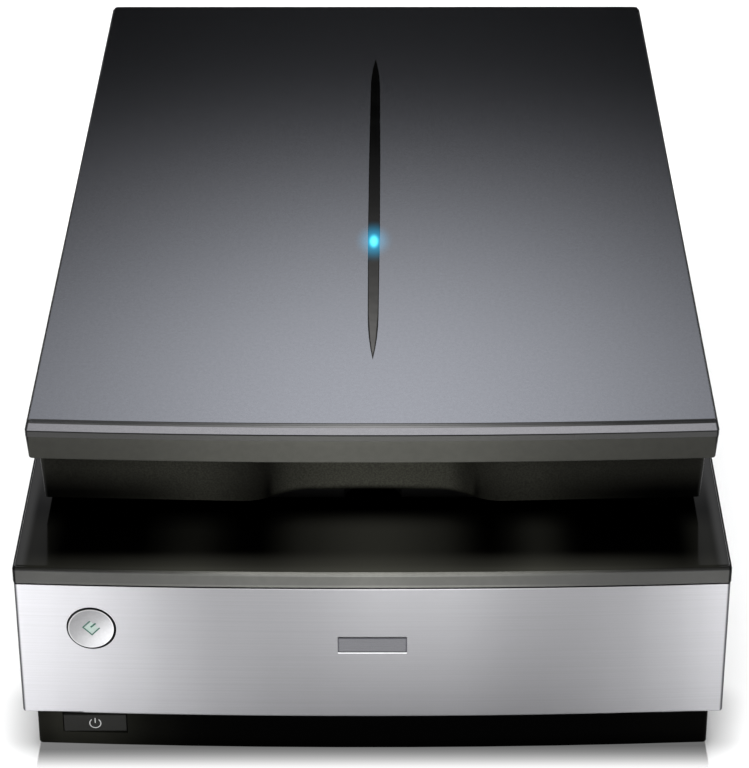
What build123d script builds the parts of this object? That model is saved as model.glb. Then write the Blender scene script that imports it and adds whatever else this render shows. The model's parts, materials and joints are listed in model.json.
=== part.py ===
from build123d import *
import math
import os

# A flatbed photo scanner that stands lengthways, with a film-scanning lamp unit in its lid.
# Millimetres. X is to the right, Y from the front to the back, Z up. The origin is under the
# middle of the scanner, on the desk.

os.makedirs("parts", exist_ok=True)

# ---------------------------------------------------------------- overall size
WIDTH = 308.0
DEPTH = 503.0
HEIGHT = 152.0
FRONT = -DEPTH / 2
REAR = DEPTH / 2
BOW = 4.0  # the middle of each front face stands this far ahead of its corners
GAP = 0.3  # between pieces that move past each other
WALL = 2.5  # moulded wall

# ---------------------------------------------------------------- levels
FOOT = 3.0  # top of the rubber feet
FLOOR = FOOT + WALL  # inside floor of the base
PLINTH_TOP = 22.6
BAND_LOW = 91.0  # joint between the lower case and the upper case
SHOULDER = 98.0  # the deck stands on this shoulder of the band
DECK = 99.0
SHELL_LOW = 106.5  # underside of the lid
FRAME_LOW = 136.9
PANEL_LOW = 147.9
LEDGE_TOP = 150.9

# ---------------------------------------------------------------- half widths and fronts
HALF = WIDTH / 2
PLINTH_HALF, PLINTH_FRONT, PLINTH_REAR = 148.3, FRONT + 5.5, REAR - 3.5
BODY_HALF, BODY_FRONT = 153.2, FRONT + 5.7
PAN_HALF, PAN_FRONT, PAN_DEEP, PAN_THICK = 153.8, FRONT + 1.0, 4.5, 1.6
LID_HALF, LID_FRONT, LID_REAR = 148.3, FRONT + 27.0, REAR - 2.0
LEDGE_FRONT = LID_FRONT + 8.1  # front edge of the raised field on the lid
LEDGE_SIDE = 0.9  # and its distance from the other three sides
SHELL_HALF, SHELL_FRONT, SHELL_REAR = 143.9, FRONT + 45.1, REAR - 4.5

# ---------------------------------------------------------------- document table
WINDOW_W, WINDOW_L, WINDOW_Y = 219.0, 300.0, -30.0
LIP = 1.2  # deck thickness over the rim of the glass
GLASS_W, GLASS_L, GLASS_T = 231.4, 312.4, 3.0
GLASS_TOP = DECK - LIP

# ---------------------------------------------------------------- lid hinge
HINGE_Y, HINGE_Z, HINGE_X = 236.0, 116.0, 95.0
POST_W, POST_D, POST_LOW = 36.0, 16.0, 42.0
PIN_R = 3.0

# ---------------------------------------------------------------- carriage and its drive
CAR_Y = 130.0  # scan line with the carriage at home
CAR_HALF, CAR_DEEP, CAR_LOW, CAR_TOP = 116.0, 96.0, 38.0, 84.0
ROD_X, ROD_Z, ROD_R = -123.0, 60.0, 4.0
RAIL_X, RAIL_Z = 125.0, 52.0
BELT_X, BELT_REAR, BELT_FRONT = -98.0, 212.0, -228.0
BELT_R, BELT_T, BELT_Z, BELT_W = 6.6, 1.0, 19.0, 6.0
PULLEY_R = BELT_R - GAP
MODULE, GEAR_TEETH, PINION_TEETH = 0.8, 40, 14
GEAR_R, PINION_R = MODULE * GEAR_TEETH / 2, MODULE * PINION_TEETH / 2
MESH_ANGLE = -40.0  # direction from the drive gear to the motor pinion
PINION_X = BELT_X + (GEAR_R + PINION_R) * math.cos(math.radians(MESH_ANGLE))
PINION_Y = BELT_REAR + (GEAR_R + PINION_R) * math.sin(math.radians(MESH_ANGLE))
LENS_PITCH, LENS_Z = 34.0, 68.0

# ---------------------------------------------------------------- film lamp unit in the lid
LAMP_Y = 110.0  # film lamp at home
LAMP_LOW, LAMP_TOP = 114.0, 126.0
FILM_ROD_X, FILM_ROD_Z, FILM_ROD_R = 112.0, 120.0, 3.0
FILM_BELT_X, FILM_BELT_REAR, FILM_BELT_FRONT = 129.0, 156.0, -176.0
FILM_BELT_R, FILM_BELT_Z, FILM_BELT_W = 4.6, 116.0, 5.0

# ---------------------------------------------------------------- buttons, mat, ports
START_X, START_Z, START_R = -121.5, 68.2, 10.0
START_FACE, DISH_R = -248.7, 50.0
POWER_X, POWER_Z, POWER_W, POWER_H = -122.8, 14.0, 27.8, 8.8
SLIT_HALF, SLIT_Y, SLIT_W = 168.0, 7.4, 5.8
LED_Y = -43.5
MAT_LOW, MAT_FRONT, MAT_REAR = DECK + GAP, -179.0, 123.0
PORT_Z = 37.0
BOARD_TOP = 31.6


def save(piece, name):
    """Labels a finished piece and writes its STEP file."""
    piece.part.label = name
    export_step(piece.part, f"parts/{name}.step")


def bowed(z, half_width, front, rear, front_radius, rear_radius):
    """Plan outline with a bowed front edge and rounded corners, at height z."""
    corner = front + BOW
    with BuildSketch(Plane.XY.offset(z)) as outline:
        with BuildLine():
            ThreePointArc((-half_width, corner), (0, front), (half_width, corner))
            Line((half_width, corner), (half_width, rear))
            Line((half_width, rear), (-half_width, rear))
            Line((-half_width, rear), (-half_width, corner))
        make_face()
        fillet(outline.vertices().group_by(Axis.Y)[0], front_radius)
        fillet(outline.vertices().group_by(Axis.Y)[-1], rear_radius)
    return outline.sketch


def block(x0, x1, y0, y1, z0, z1, mode=Mode.ADD):
    """A box between two corners, in the current part."""
    with Locations(((x0 + x1) / 2, (y0 + y1) / 2, (z0 + z1) / 2)):
        Box(x1 - x0, y1 - y0, z1 - z0, mode=mode)


def post(x, y, z0, z1, radius, mode=Mode.ADD):
    """An upright cylinder, in the current part."""
    with Locations((x, y, (z0 + z1) / 2)):
        Cylinder(radius, z1 - z0, mode=mode)


def along_y(x, z, y0, y1, radius, mode=Mode.ADD):
    """A cylinder that runs from front to back, in the current part."""
    with Locations((x, (y0 + y1) / 2, z)):
        Cylinder(radius, y1 - y0, rotation=(90, 0, 0), mode=mode)


def along_x(y, z, x0, x1, radius, mode=Mode.ADD):
    """A cylinder that runs from left to right, in the current part."""
    with Locations(((x0 + x1) / 2, y, z)):
        Cylinder(radius, x1 - x0, rotation=(0, 90, 0), mode=mode)


def gear(x, y, z, teeth, width, start_angle):
    """A spur gear with straight-flanked teeth and a centred tooth at start_angle, in the current part."""
    root = MODULE * (teeth / 2 - 1.1)
    tip = MODULE * (teeth / 2 + 0.8)
    thick_low, thick_high = MODULE * 2.05, MODULE * 0.72
    with BuildSketch(Plane.XY.offset(z)) as profile:
        with Locations((x, y)):
            Circle(root)
            with PolarLocations(root, teeth, start_angle=start_angle):
                Polygon(
                    (-0.4, -thick_low / 2),
                    (0, -thick_low / 2),
                    (tip - root, -thick_high / 2),
                    (tip - root, thick_high / 2),
                    (0, thick_low / 2),
                    (-0.4, thick_low / 2),
                    align=None,
                )
    extrude(profile.sketch, amount=width)


def pulley(x, y, z, radius, width, flange, bore):
    """A flanged belt pulley around an upright bore, in the current part."""
    flange_thick = 1.1
    post(x, y, z - GAP, z + width + GAP, radius)
    post(x, y, z - GAP - flange_thick, z - GAP, flange)
    post(x, y, z + width + GAP, z + width + GAP + flange_thick, flange)
    with Locations((x, y, z + width / 2)):
        with PolarLocations(radius, 16):
            Box(0.8, 1.1, width - 1, mode=Mode.SUBTRACT)
    post(x, y, z - 3, z + width + 3, bore, mode=Mode.SUBTRACT)


def belt_loop(x, rear, front, radius, z, width):
    """A flat timing belt around two upright pulleys, in the current part."""
    with BuildSketch(Plane.XY.offset(z)) as loop:
        with Locations((x, (rear + front) / 2)):
            SlotCenterToCenter(rear - front, 2 * (radius + BELT_T), rotation=90)
            SlotCenterToCenter(rear - front, 2 * radius, rotation=90, mode=Mode.SUBTRACT)
    extrude(loop.sketch, amount=width)


# ================================================================ base: cases and covers

with BuildPart() as lower_case:
    # outside: recessed plinth, body, and the block that the front panel is clipped over
    low = FOOT - 0.5
    extrude(bowed(low, PLINTH_HALF, PLINTH_FRONT, PLINTH_REAR, 2, 10), amount=PLINTH_TOP - low)
    fillet(lower_case.edges().group_by(Axis.Z)[0], 0.8)
    extrude(bowed(PLINTH_TOP, BODY_HALF, BODY_FRONT, REAR, 2, 10), amount=BAND_LOW - PLINTH_TOP)
    block_front = PAN_FRONT + PAN_THICK + GAP
    extrude(bowed(26, 151.3, block_front, 0, 1, 1), amount=61.9)
    # inside
    extrude(
        bowed(FLOOR, PLINTH_HALF - WALL, PLINTH_FRONT + WALL, PLINTH_REAR - WALL, 1, 8),
        amount=PLINTH_TOP + WALL - FLOOR,
        mode=Mode.SUBTRACT,
    )
    extrude(
        bowed(PLINTH_TOP + WALL, BODY_HALF - WALL, BODY_FRONT + WALL, REAR - WALL, 1, 8),
        amount=BAND_LOW - PLINTH_TOP - WALL,
        mode=Mode.SUBTRACT,
    )
    extrude(bowed(28.5, 148.8, block_front + WALL, 0, 1, 1), amount=56.9, mode=Mode.SUBTRACT)
    # cup behind the start button
    along_y(START_X, START_Z, -244.5, -239.2, START_R + 2.9)
    along_y(START_X, START_Z, -252, -240.8, START_R + 1.4, mode=Mode.SUBTRACT)
    # screw bosses that reach up to the upper case, with counterbored holes from below
    for x in (-145, 145):
        for y in (-226, 0, 236):
            post(x, y, FLOOR - 1, BAND_LOW, 4.5)
            post(x, y, FOOT - 1, BAND_LOW + 1, 1.6, mode=Mode.SUBTRACT)
            post(x, y, FOOT - 1, FOOT + 3.2, 3.6, mode=Mode.SUBTRACT)
    # pillars that hold the ends of the guide rod
    for y in (-224, 184):
        block(ROD_X - 6, ROD_X + 6, y - 4, y + 4, FLOOR - 1, ROD_Z + 8)
    along_y(ROD_X, ROD_Z, -226, 186, ROD_R, mode=Mode.SUBTRACT)
    # pillars under the support rail, the tensioner's pad and hook, and board standoffs
    for y in (-220, -20, 180):
        block(RAIL_X - 5, RAIL_X + 5, y - 4, y + 4, FLOOR - 1, RAIL_Z - 2)
    block(BELT_X - 8, BELT_X + 8, -240, -208, FLOOR - 1, 14.5)
    block(BELT_X - 2, BELT_X + 2, -184, -180, FLOOR - 1, 18)
    for x in (-44, 56):
        for y in (195, 242):
            post(x, y, FLOOR - 1, BOARD_TOP - 1.6, 3)
    for x in (68, 134):
        for y in (197, 240):
            post(x, y, FLOOR - 1, 8, 3)
    # floor ribs
    for x in (-60, -20, 60, 100):
        block(x - 0.8, x + 0.8, -200, 170, FLOOR - 1, FLOOR + 3)
    # openings: power button, start button stem, rear sockets, lock lever, vents, foot seats
    block(
        POWER_X - POWER_W / 2 - 0.4, POWER_X + POWER_W / 2 + 0.4, -252, -237.5,
        POWER_Z - POWER_H / 2 - 0.4, PLINTH_TOP - 0.2, mode=Mode.SUBTRACT,
    )
    along_y(START_X, START_Z, -252, -238, 4.5, mode=Mode.SUBTRACT)
    block(-6.6, 6.6, 245, 253, PORT_Z - 5.8, PORT_Z + 6.2, mode=Mode.SUBTRACT)
    block(-48.6, -19.4, 245, 253, PORT_Z - 5.8, PORT_Z + 5.8, mode=Mode.SUBTRACT)
    block(44.4, 73.6, 245, 253, 35.4, 56.6, mode=Mode.SUBTRACT)
    block(28.5, 51.5, 248, 250.2, 56, 68, mode=Mode.SUBTRACT)
    block(30.5, 49.5, 248, 253, 58, 66, mode=Mode.SUBTRACT)
    with Locations((0, REAR - 1, 78)):
        with GridLocations(6, 1, 18, 1):
            Box(2.6, 6, 10, mode=Mode.SUBTRACT)
    for x in (-125, 125):
        for y in (-212, 212):
            post(x, y, FOOT - 1, FOOT + 1, 9.2, mode=Mode.SUBTRACT)
save(lower_case, "lower_case")

with BuildPart() as upper_case:
    # band with the deck standing 1 mm above its shoulder
    extrude(bowed(BAND_LOW, HALF, FRONT, REAR, 1.6, 10), amount=SHOULDER - BAND_LOW)
    fillet(upper_case.edges().group_by(Axis.Z)[0] + upper_case.edges().group_by(Axis.Z)[-1], 0.4)
    extrude(bowed(SHOULDER - 1, HALF - 0.9, FRONT + 1.6, REAR - 0.8, 1.4, 9.4), amount=DECK - SHOULDER + 1)
    fillet(upper_case.edges().group_by(Axis.Z)[-1], 0.7)
    extrude(
        bowed(BAND_LOW, HALF - 3.2, FRONT + 3.4, REAR - 3.2, 2, 7),
        amount=DECK - WALL - BAND_LOW,
        mode=Mode.SUBTRACT,
    )
    # window over the glass, with a bevelled edge, and the glass's seat under it
    with Locations((0, WINDOW_Y, GLASS_TOP - 2)):
        Box(GLASS_W + 0.6, GLASS_L + 0.6, 4, mode=Mode.SUBTRACT)
    with BuildSketch(Plane.XY.offset(GLASS_TOP)) as window_low:
        with Locations((0, WINDOW_Y)):
            Rectangle(WINDOW_W, WINDOW_L)
    with BuildSketch(Plane.XY.offset(DECK)) as window_high:
        with Locations((0, WINDOW_Y)):
            Rectangle(WINDOW_W + 2.4, WINDOW_L + 2.4)
    loft([window_low.sketch, window_high.sketch], mode=Mode.SUBTRACT)
    # wells for the lid's hinge posts, and sockets for the case screws
    for x in (-HINGE_X, HINGE_X):
        block(
            x - POST_W / 2 - 0.4, x + POST_W / 2 + 0.4, HINGE_Y - POST_D / 2 - 0.4,
            HINGE_Y + POST_D / 2 + 0.4, BAND_LOW, DECK + 1, mode=Mode.SUBTRACT,
        )
    for x in (-145, 145):
        for y in (-226, 0, 236):
            post(x, y, BAND_LOW, DECK - WALL + 0.5, 4)
            post(x, y, BAND_LOW - 1, DECK - WALL, 1.4, mode=Mode.SUBTRACT)
save(upper_case, "upper_case")

with BuildPart() as document_glass:
    with Locations((0, WINDOW_Y, GLASS_TOP - GLASS_T / 2)):
        Box(GLASS_W, GLASS_L, GLASS_T)
    chamfer(document_glass.edges(), 0.3)
save(document_glass, "document_glass")

with BuildPart() as calibration_strip:
    block(-112, 112, 128, 140, DECK - WALL - 0.4, DECK - WALL)
save(calibration_strip, "calibration_strip")

with BuildPart() as front_panel:
    # a shallow bowed pan: face sheet with returns on all four sides
    extrude(bowed(PLINTH_TOP, PAN_HALF, PAN_FRONT, BODY_FRONT + BOW - 0.2, 1.2, 0.1), amount=67.2)
    fillet(front_panel.edges().filter_by(Axis.Y).group_by(Axis.Z)[0], 1.3)
    inner_back = BODY_FRONT + BOW + 1
    extrude(
        bowed(PLINTH_TOP + PAN_THICK, PAN_HALF - PAN_THICK, PAN_FRONT + PAN_THICK, inner_back, 0.3, 0.1),
        amount=67.2 - 2 * PAN_THICK,
        mode=Mode.SUBTRACT,
    )
    back_cut = bowed(PLINTH_TOP - 1, PAN_HALF + 5, PAN_FRONT + PAN_DEEP, REAR, 0.1, 0.1)
    extrude(back_cut, amount=70, mode=Mode.SUBTRACT)
    along_y(START_X, START_Z, -255, -240, START_R + 0.6, mode=Mode.SUBTRACT)
    block(-15.1, 15.1, -252, PAN_FRONT + 0.2, 56.7, 64.9, mode=Mode.SUBTRACT)
save(front_panel, "front_panel")

with BuildPart() as front_badge:
    # plain raised plate with a sunken field
    block(-15, 15, PAN_FRONT - 0.4, PAN_FRONT + 0.2, 56.8, 64.8)
    fillet(front_badge.edges().filter_by(Axis.Y), 0.4)
    block(-14.5, 14.5, PAN_FRONT - 1, PAN_FRONT - 0.1, 57.3, 64.3, mode=Mode.SUBTRACT)
save(front_badge, "front_badge")

with BuildPart() as rubber_feet:
    for x in (-125, 125):
        for y in (-212, 212):
            post(x, y, 0, FOOT + 1, 9)
    fillet(rubber_feet.edges().group_by(Axis.Z)[0], 0.8)
save(rubber_feet, "rubber_feet")

with BuildPart() as case_screws:
    for x in (-145, 145):
        for y in (-226, 0, 236):
            post(x, y, FOOT + 1.0, FOOT + 3.2, 3.2)
            post(x, y, FOOT + 3.2, BAND_LOW + 4, 1.4)
            with Locations((x, y, FOOT + 1.0)):
                Box(3.6, 0.9, 1.8, mode=Mode.SUBTRACT)
                Box(0.9, 3.6, 1.8, mode=Mode.SUBTRACT)
save(case_screws, "case_screws")

# ================================================================ base: buttons

with BuildPart() as start_button:
    # dished cap, a collar that stays behind the panel, and a stem to the switch
    along_y(START_X, START_Z, START_FACE, START_FACE + 3.1, START_R)
    fillet(start_button.faces().sort_by(Axis.Y)[0].edges(), 0.5)
    with Locations((START_X, START_FACE - DISH_R + 1.1, START_Z)):
        Sphere(DISH_R, mode=Mode.SUBTRACT)
    along_y(START_X, START_Z, START_FACE + 3.1, START_FACE + 4.3, START_R + 1.2)
    along_y(START_X, START_Z, START_FACE + 4.3, -240.2, 3)
save(start_button, "start_button")

with BuildPart() as start_spring:
    # light coil between the collar and the bottom of the cup
    with BuildLine() as start_path:
        Helix(1.1, 2.75, 5, center=(START_X, -243.95, START_Z), direction=(0, 1, 0))
    with BuildSketch(Plane(origin=start_path.line @ 0, z_dir=start_path.line % 0)):
        Circle(0.25)
    sweep()
save(start_spring, "start_spring")

with BuildPart() as power_button:
    # flat key in the plinth, with a stem to its switch
    power_front = PLINTH_FRONT + 3.0
    block(
        POWER_X - POWER_W / 2, POWER_X + POWER_W / 2, power_front, power_front + 2.6,
        POWER_Z - POWER_H / 2, POWER_Z + POWER_H / 2,
    )
    fillet(power_button.faces().sort_by(Axis.Y)[0].edges(), 0.5)
    block(POWER_X - 2, POWER_X + 2, power_front + 2.5, -239.5, POWER_Z - 2, POWER_Z + 2)
save(power_button, "power_button")

with BuildPart() as button_board:
    block(POWER_X - 13, POWER_X + 13, -236.9, -235.3, 8, 80)
    for z in (POWER_Z, START_Z):
        block(POWER_X - 3, POWER_X + 3, -238.4, -236.9, z - 3, z + 3)
    block(POWER_X + 4, POWER_X + 10, -238.4, -236.9, 40, 52)
save(button_board, "button_board")

# ================================================================ base: carriage guides and drive

with BuildPart() as guide_rod:
    along_y(ROD_X, ROD_Z, -226, 186, ROD_R)
    chamfer(guide_rod.edges(), 0.5)
save(guide_rod, "guide_rod")

with BuildPart() as support_rail:
    block(RAIL_X - 6, RAIL_X + 6, -226, 186, RAIL_Z - 2, RAIL_Z)
    for y in (-220, -20, 180):
        post(RAIL_X, y, RAIL_Z - 3, RAIL_Z + 1, 1.5, mode=Mode.SUBTRACT)
save(support_rail, "support_rail")

with BuildPart() as timing_belt:
    belt_loop(BELT_X, BELT_REAR, BELT_FRONT, BELT_R, BELT_Z, BELT_W)
save(timing_belt, "timing_belt")

with BuildPart() as drive_gear:
    pulley(BELT_X, BELT_REAR, BELT_Z, PULLEY_R, BELT_W, 8.6, 2.05)
    gear(BELT_X, BELT_REAR, 27, GEAR_TEETH, 6, MESH_ANGLE + 180 / GEAR_TEETH)
    post(BELT_X, BELT_REAR, 26, 27.5, 6)
    post(BELT_X, BELT_REAR, 25, 34, 2.05, mode=Mode.SUBTRACT)
    with Locations((BELT_X, BELT_REAR, 33.4)):
        with PolarLocations(10.5, 6):
            Cylinder(2.6, 12, mode=Mode.SUBTRACT)
save(drive_gear, "drive_gear")

with BuildPart() as motor_pinion:
    gear(PINION_X, PINION_Y, 27, PINION_TEETH, 7, MESH_ANGLE + 180)
    post(PINION_X, PINION_Y, 33, 42, 1.5)
save(motor_pinion, "motor_pinion")

with BuildPart() as drive_motor:
    post(PINION_X, PINION_Y, 37.5, 60, 18)
    fillet(drive_motor.edges().group_by(Axis.Z)[-1], 1.2)
    block(PINION_X - 21, PINION_X + 21, PINION_Y - 5, PINION_Y + 5, 37.5, 38.7)
    post(PINION_X, PINION_Y, 37, 44, 2.0, mode=Mode.SUBTRACT)
    block(PINION_X - 6, PINION_X + 6, PINION_Y + 17, PINION_Y + 21, 42, 52)
save(drive_motor, "drive_motor")

with BuildPart() as drive_bracket:
    block(-118, -58, 190, 224, 36, 37.5)
    block(-118, -116.5, 195, 222, FLOOR, 36)
    block(-59.5, -58, 195, 222, FLOOR, 36)
    post(PINION_X, PINION_Y, 35, 39, 4, mode=Mode.SUBTRACT)
save(drive_bracket, "drive_bracket")

with BuildPart() as drive_studs:
    # shouldered stud for the drive gear, pin for the idler pulley
    post(BELT_X, BELT_REAR, FLOOR, 36, 2)
    post(BELT_X, BELT_REAR, FLOOR, 17, 4)
    post(BELT_X, BELT_FRONT, 16, 28.5, 2)
    post(BELT_X, BELT_FRONT, 27.2, 28.5, 3.4)
save(drive_studs, "drive_studs")

with BuildPart() as idler_pulley:
    pulley(BELT_X, BELT_FRONT, BELT_Z, PULLEY_R, BELT_W, 8.6, 2.05)
save(idler_pulley, "idler_pulley")

with BuildPart() as tension_bracket:
    block(BELT_X - 9, BELT_X + 9, -239, -208, 14.5, 16)
    block(BELT_X - 3, BELT_X + 3, -209.5, -208, 16, 18.5)
    block(BELT_X - 1.6, BELT_X + 1.6, -219, -212, 14, 17, mode=Mode.SUBTRACT)
save(tension_bracket, "tension_bracket")

with BuildPart() as tension_spring:
    with BuildLine() as tension_path:
        Helix(1.6, 22.4, 1.6, center=(BELT_X, -207.6, 16.6), direction=(0, 1, 0))
    with BuildSketch(Plane(origin=tension_path.line @ 0, z_dir=tension_path.line % 0)):
        Circle(0.35)
    sweep()
save(tension_spring, "tension_spring")

# ================================================================ base: electronics and rear sockets

with BuildPart() as main_board:
    block(-50, 61, 190, 246, BOARD_TOP - 1.6, BOARD_TOP)
    block(14, 42, 204, 232, BOARD_TOP, BOARD_TOP + 3)
    block(-38, -22, 200, 216, BOARD_TOP, BOARD_TOP + 2.2)
    block(47, 59, 206, 216, BOARD_TOP, BOARD_TOP + 2)
    block(-8, 30, 192, 196, BOARD_TOP, BOARD_TOP + 4)
    for x in (48, 56):
        post(x, 222, BOARD_TOP, BOARD_TOP + 9, 3)
save(main_board, "main_board")

with BuildPart() as power_supply:
    block(64, 138, 192, 245, 8, 9.6)
    block(66, 92, 200, 226, 9.6, 31)
    for y in (203, 217, 231):
        post(104, y, 9.6, 30, 5.5)
    block(113, 116, 196, 240, 9.6, 34)
    block(120, 136, 198, 216, 9.6, 24)
save(power_supply, "power_supply")

with BuildPart() as ac_inlet:
    # recessed three-pin inlet
    block(45, 73, 229, REAR - 0.4, 36, 56)
    block(47, 71, 235, REAR, 38, 54, mode=Mode.SUBTRACT)
    for x, z in ((52, 44), (66, 44), (59, 49)):
        block(x - 1, x + 1, 234, 247, z - 2, z + 2)
save(ac_inlet, "ac_inlet")

with BuildPart() as usb_socket:
    # square socket with a tongue
    block(-6, 6, 234, REAR - 0.6, BOARD_TOP, PORT_Z + 5.8)
    block(-4.3, 4.3, 238, REAR, PORT_Z - 4, PORT_Z + 4.4, mode=Mode.SUBTRACT)
    block(-2.8, 2.8, 237, 245, PORT_Z - 1.2, PORT_Z + 1.6)
save(usb_socket, "usb_socket")

with BuildPart() as lid_cable_socket:
    # wide socket for the cable from the lid
    block(-48, -20, 234, REAR - 0.6, BOARD_TOP, PORT_Z + 5.4)
    block(-46.4, -21.6, 243, REAR, PORT_Z - 3.6, PORT_Z + 3.8, mode=Mode.SUBTRACT)
    block(-44.5, -23.5, 242, 245.5, PORT_Z - 1, PORT_Z + 1.2)
save(lid_cable_socket, "lid_cable_socket")

with BuildPart() as transport_lock:
    # lever behind the rear wall, with a bar that reaches the catch on the carriage
    block(32, 40, 247.4, REAR - 0.5, 58.6, 65.4)
    block(30.5, 43.5, 245.4, 247.4, 57, 67)
    block(34, 38, 181.0, 245.6, 60, 64)
    block(34, 42, 181.0, 184.0, 60, 64)
    for x in (34, 36, 38):
        block(x - 0.4, x + 0.4, REAR - 0.9, REAR, 59.6, 64.4, mode=Mode.SUBTRACT)
save(transport_lock, "transport_lock")

with BuildPart() as hinge_sockets:
    # sleeves under the deck that the lid's posts stand in
    for x in (-HINGE_X, HINGE_X):
        block(x - 21, x + 21, HINGE_Y - 11, HINGE_Y + 11, 38, DECK - WALL)
        block(
            x - POST_W / 2 - 0.3, x + POST_W / 2 + 0.3, HINGE_Y - POST_D / 2 - 0.3,
            HINGE_Y + POST_D / 2 + 0.3, 40, DECK, mode=Mode.SUBTRACT,
        )
save(hinge_sockets, "hinge_sockets")

# ================================================================ carriage

CAR_FRONT, CAR_REAR = CAR_Y - CAR_DEEP / 2, CAR_Y + CAR_DEEP / 2

with BuildPart() as carriage_frame:
    block(-CAR_HALF, CAR_HALF, CAR_FRONT, CAR_REAR, CAR_LOW, CAR_TOP)
    fillet(carriage_frame.edges().filter_by(Axis.Z), 4)
    block(
        -CAR_HALF + WALL, CAR_HALF - WALL, CAR_FRONT + WALL, CAR_REAR - WALL,
        CAR_LOW + WALL, CAR_TOP + 1, mode=Mode.SUBTRACT,
    )
    # bearing block round the guide rod, and the arm over the support rail
    block(ROD_X - 9, -CAR_HALF + 1, CAR_Y - 30, CAR_Y + 30, ROD_Z - 9, ROD_Z + 9)
    along_y(ROD_X, ROD_Z, CAR_Y - 31, CAR_Y + 31, 5, mode=Mode.SUBTRACT)
    for y in (CAR_Y - 30, CAR_Y + 18):
        along_y(ROD_X, ROD_Z, y, y + 12, 6, mode=Mode.SUBTRACT)
    block(CAR_HALF - 1, RAIL_X + 6, CAR_Y - 12, CAR_Y + 12, RAIL_Z + 4, RAIL_Z + 14)
    # pedestal for the lens slide, bay walls and the catch for the transport lock
    block(-56, 56, 139, 157, CAR_LOW + 1, 55.8)
    for x in (-70, 70):
        block(x - 1, x + 1, CAR_FRONT + 1, CAR_REAR - 1, CAR_LOW + 1, CAR_TOP - 14)
    block(44, 56, CAR_REAR - 1, CAR_REAR + 8, 58, 66)
    block(43, 50.6, CAR_REAR + 2.6, CAR_REAR + 6.4, 57, 67, mode=Mode.SUBTRACT)
    block(43, 46.6, CAR_REAR + 2.6, CAR_REAR + 9, 57, 67, mode=Mode.SUBTRACT)
    for x in (-47, 47):
        block(x - 3, x + 3, 173.6, CAR_REAR - 1, 50, 78)
save(carriage_frame, "carriage_frame")

with BuildPart() as carriage_cover:
    block(-CAR_HALF, CAR_HALF, CAR_FRONT, CAR_REAR, CAR_TOP, CAR_TOP + 2.5)
    fillet(carriage_cover.edges().filter_by(Axis.Z), 4)
    block(-110, 110, CAR_Y - 4, CAR_Y + 4, CAR_TOP - 1, CAR_TOP + 4, mode=Mode.SUBTRACT)
    for x in (-106, 106):
        for y in (CAR_FRONT + 9, CAR_REAR - 9):
            post(x, y, CAR_TOP - 1, CAR_TOP + 4, 1.6, mode=Mode.SUBTRACT)
save(carriage_cover, "carriage_cover")

with BuildPart() as scan_lamps:
    # a bar of lamps each side of the slit, bevelled towards it
    for side in (-1, 1):
        with BuildSketch(Plane.YZ.offset(-112)) as lamp_profile:
            Polygon(
                (CAR_Y + side * 6, CAR_TOP + 2.5),
                (CAR_Y + side * 17, CAR_TOP + 2.5),
                (CAR_Y + side * 17, CAR_TOP + 6.5),
                (CAR_Y + side * 9, CAR_TOP + 6.5),
                align=None,
            )
        extrude(lamp_profile.sketch, amount=224)
save(scan_lamps, "scan_lamps")

with BuildPart() as carriage_mirrors:
    for y, z, tilt in ((CAR_Y, 50, 45), (93, 50, -45), (93, LENS_Z, 45)):
        with Locations(Location((0, y, z), (tilt, 0, 0))):
            Box(138, 13, 2.5)
save(carriage_mirrors, "carriage_mirrors")

with BuildPart() as ccd_board:
    block(-50, 50, 172, 173.6, 46, 82)
    block(-32, 32, 168.5, 172, LENS_Z - 5, LENS_Z + 5)
save(ccd_board, "ccd_board")

with BuildPart() as carriage_bushes:
    for y in (CAR_Y - 30, CAR_Y + 18):
        along_y(ROD_X, ROD_Z, y, y + 12, 6)
        along_y(ROD_X, ROD_Z, y - 1, y + 13, ROD_R + 0.05, mode=Mode.SUBTRACT)
save(carriage_bushes, "carriage_bushes")

with BuildPart() as slider_shoe:
    block(RAIL_X - 5, RAIL_X + 5, CAR_Y - 12, CAR_Y + 12, RAIL_Z + 0.1, RAIL_Z + 4)
    fillet(slider_shoe.edges().group_by(Axis.Z)[0].filter_by(Axis.X), 1.2)
save(slider_shoe, "slider_shoe")

with BuildPart() as belt_clamp:
    strand = BELT_X + BELT_R + BELT_T / 2
    block(strand - 3, strand + 3, CAR_Y - 8, CAR_Y + 8, 17, CAR_LOW)
    block(
        strand - BELT_T / 2 - GAP, strand + BELT_T / 2 + GAP, CAR_Y - 9, CAR_Y + 9,
        BELT_Z - GAP, BELT_Z + BELT_W + GAP, mode=Mode.SUBTRACT,
    )
save(belt_clamp, "belt_clamp")

with BuildPart() as lens_slide:
    block(-14, LENS_PITCH + 14, 139, 157, 56, 58)
    for x in (0, LENS_PITCH):
        block(x - 12.5, x + 12.5, 143, 153, 57, LENS_Z + 11)
        along_y(x, LENS_Z, 140, 156, 9.02, mode=Mode.SUBTRACT)
save(lens_slide, "lens_slide")

with BuildPart() as lens_barrels:
    for x, glass_r in ((0, 5.5), (LENS_PITCH, 7)):
        along_y(x, LENS_Z, 140, 158, 9)
        along_y(x, LENS_Z, 139, 143, glass_r, mode=Mode.SUBTRACT)
        along_y(x, LENS_Z, 155, 159, glass_r, mode=Mode.SUBTRACT)
save(lens_barrels, "lens_barrels")

# ================================================================ lid hinge

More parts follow.
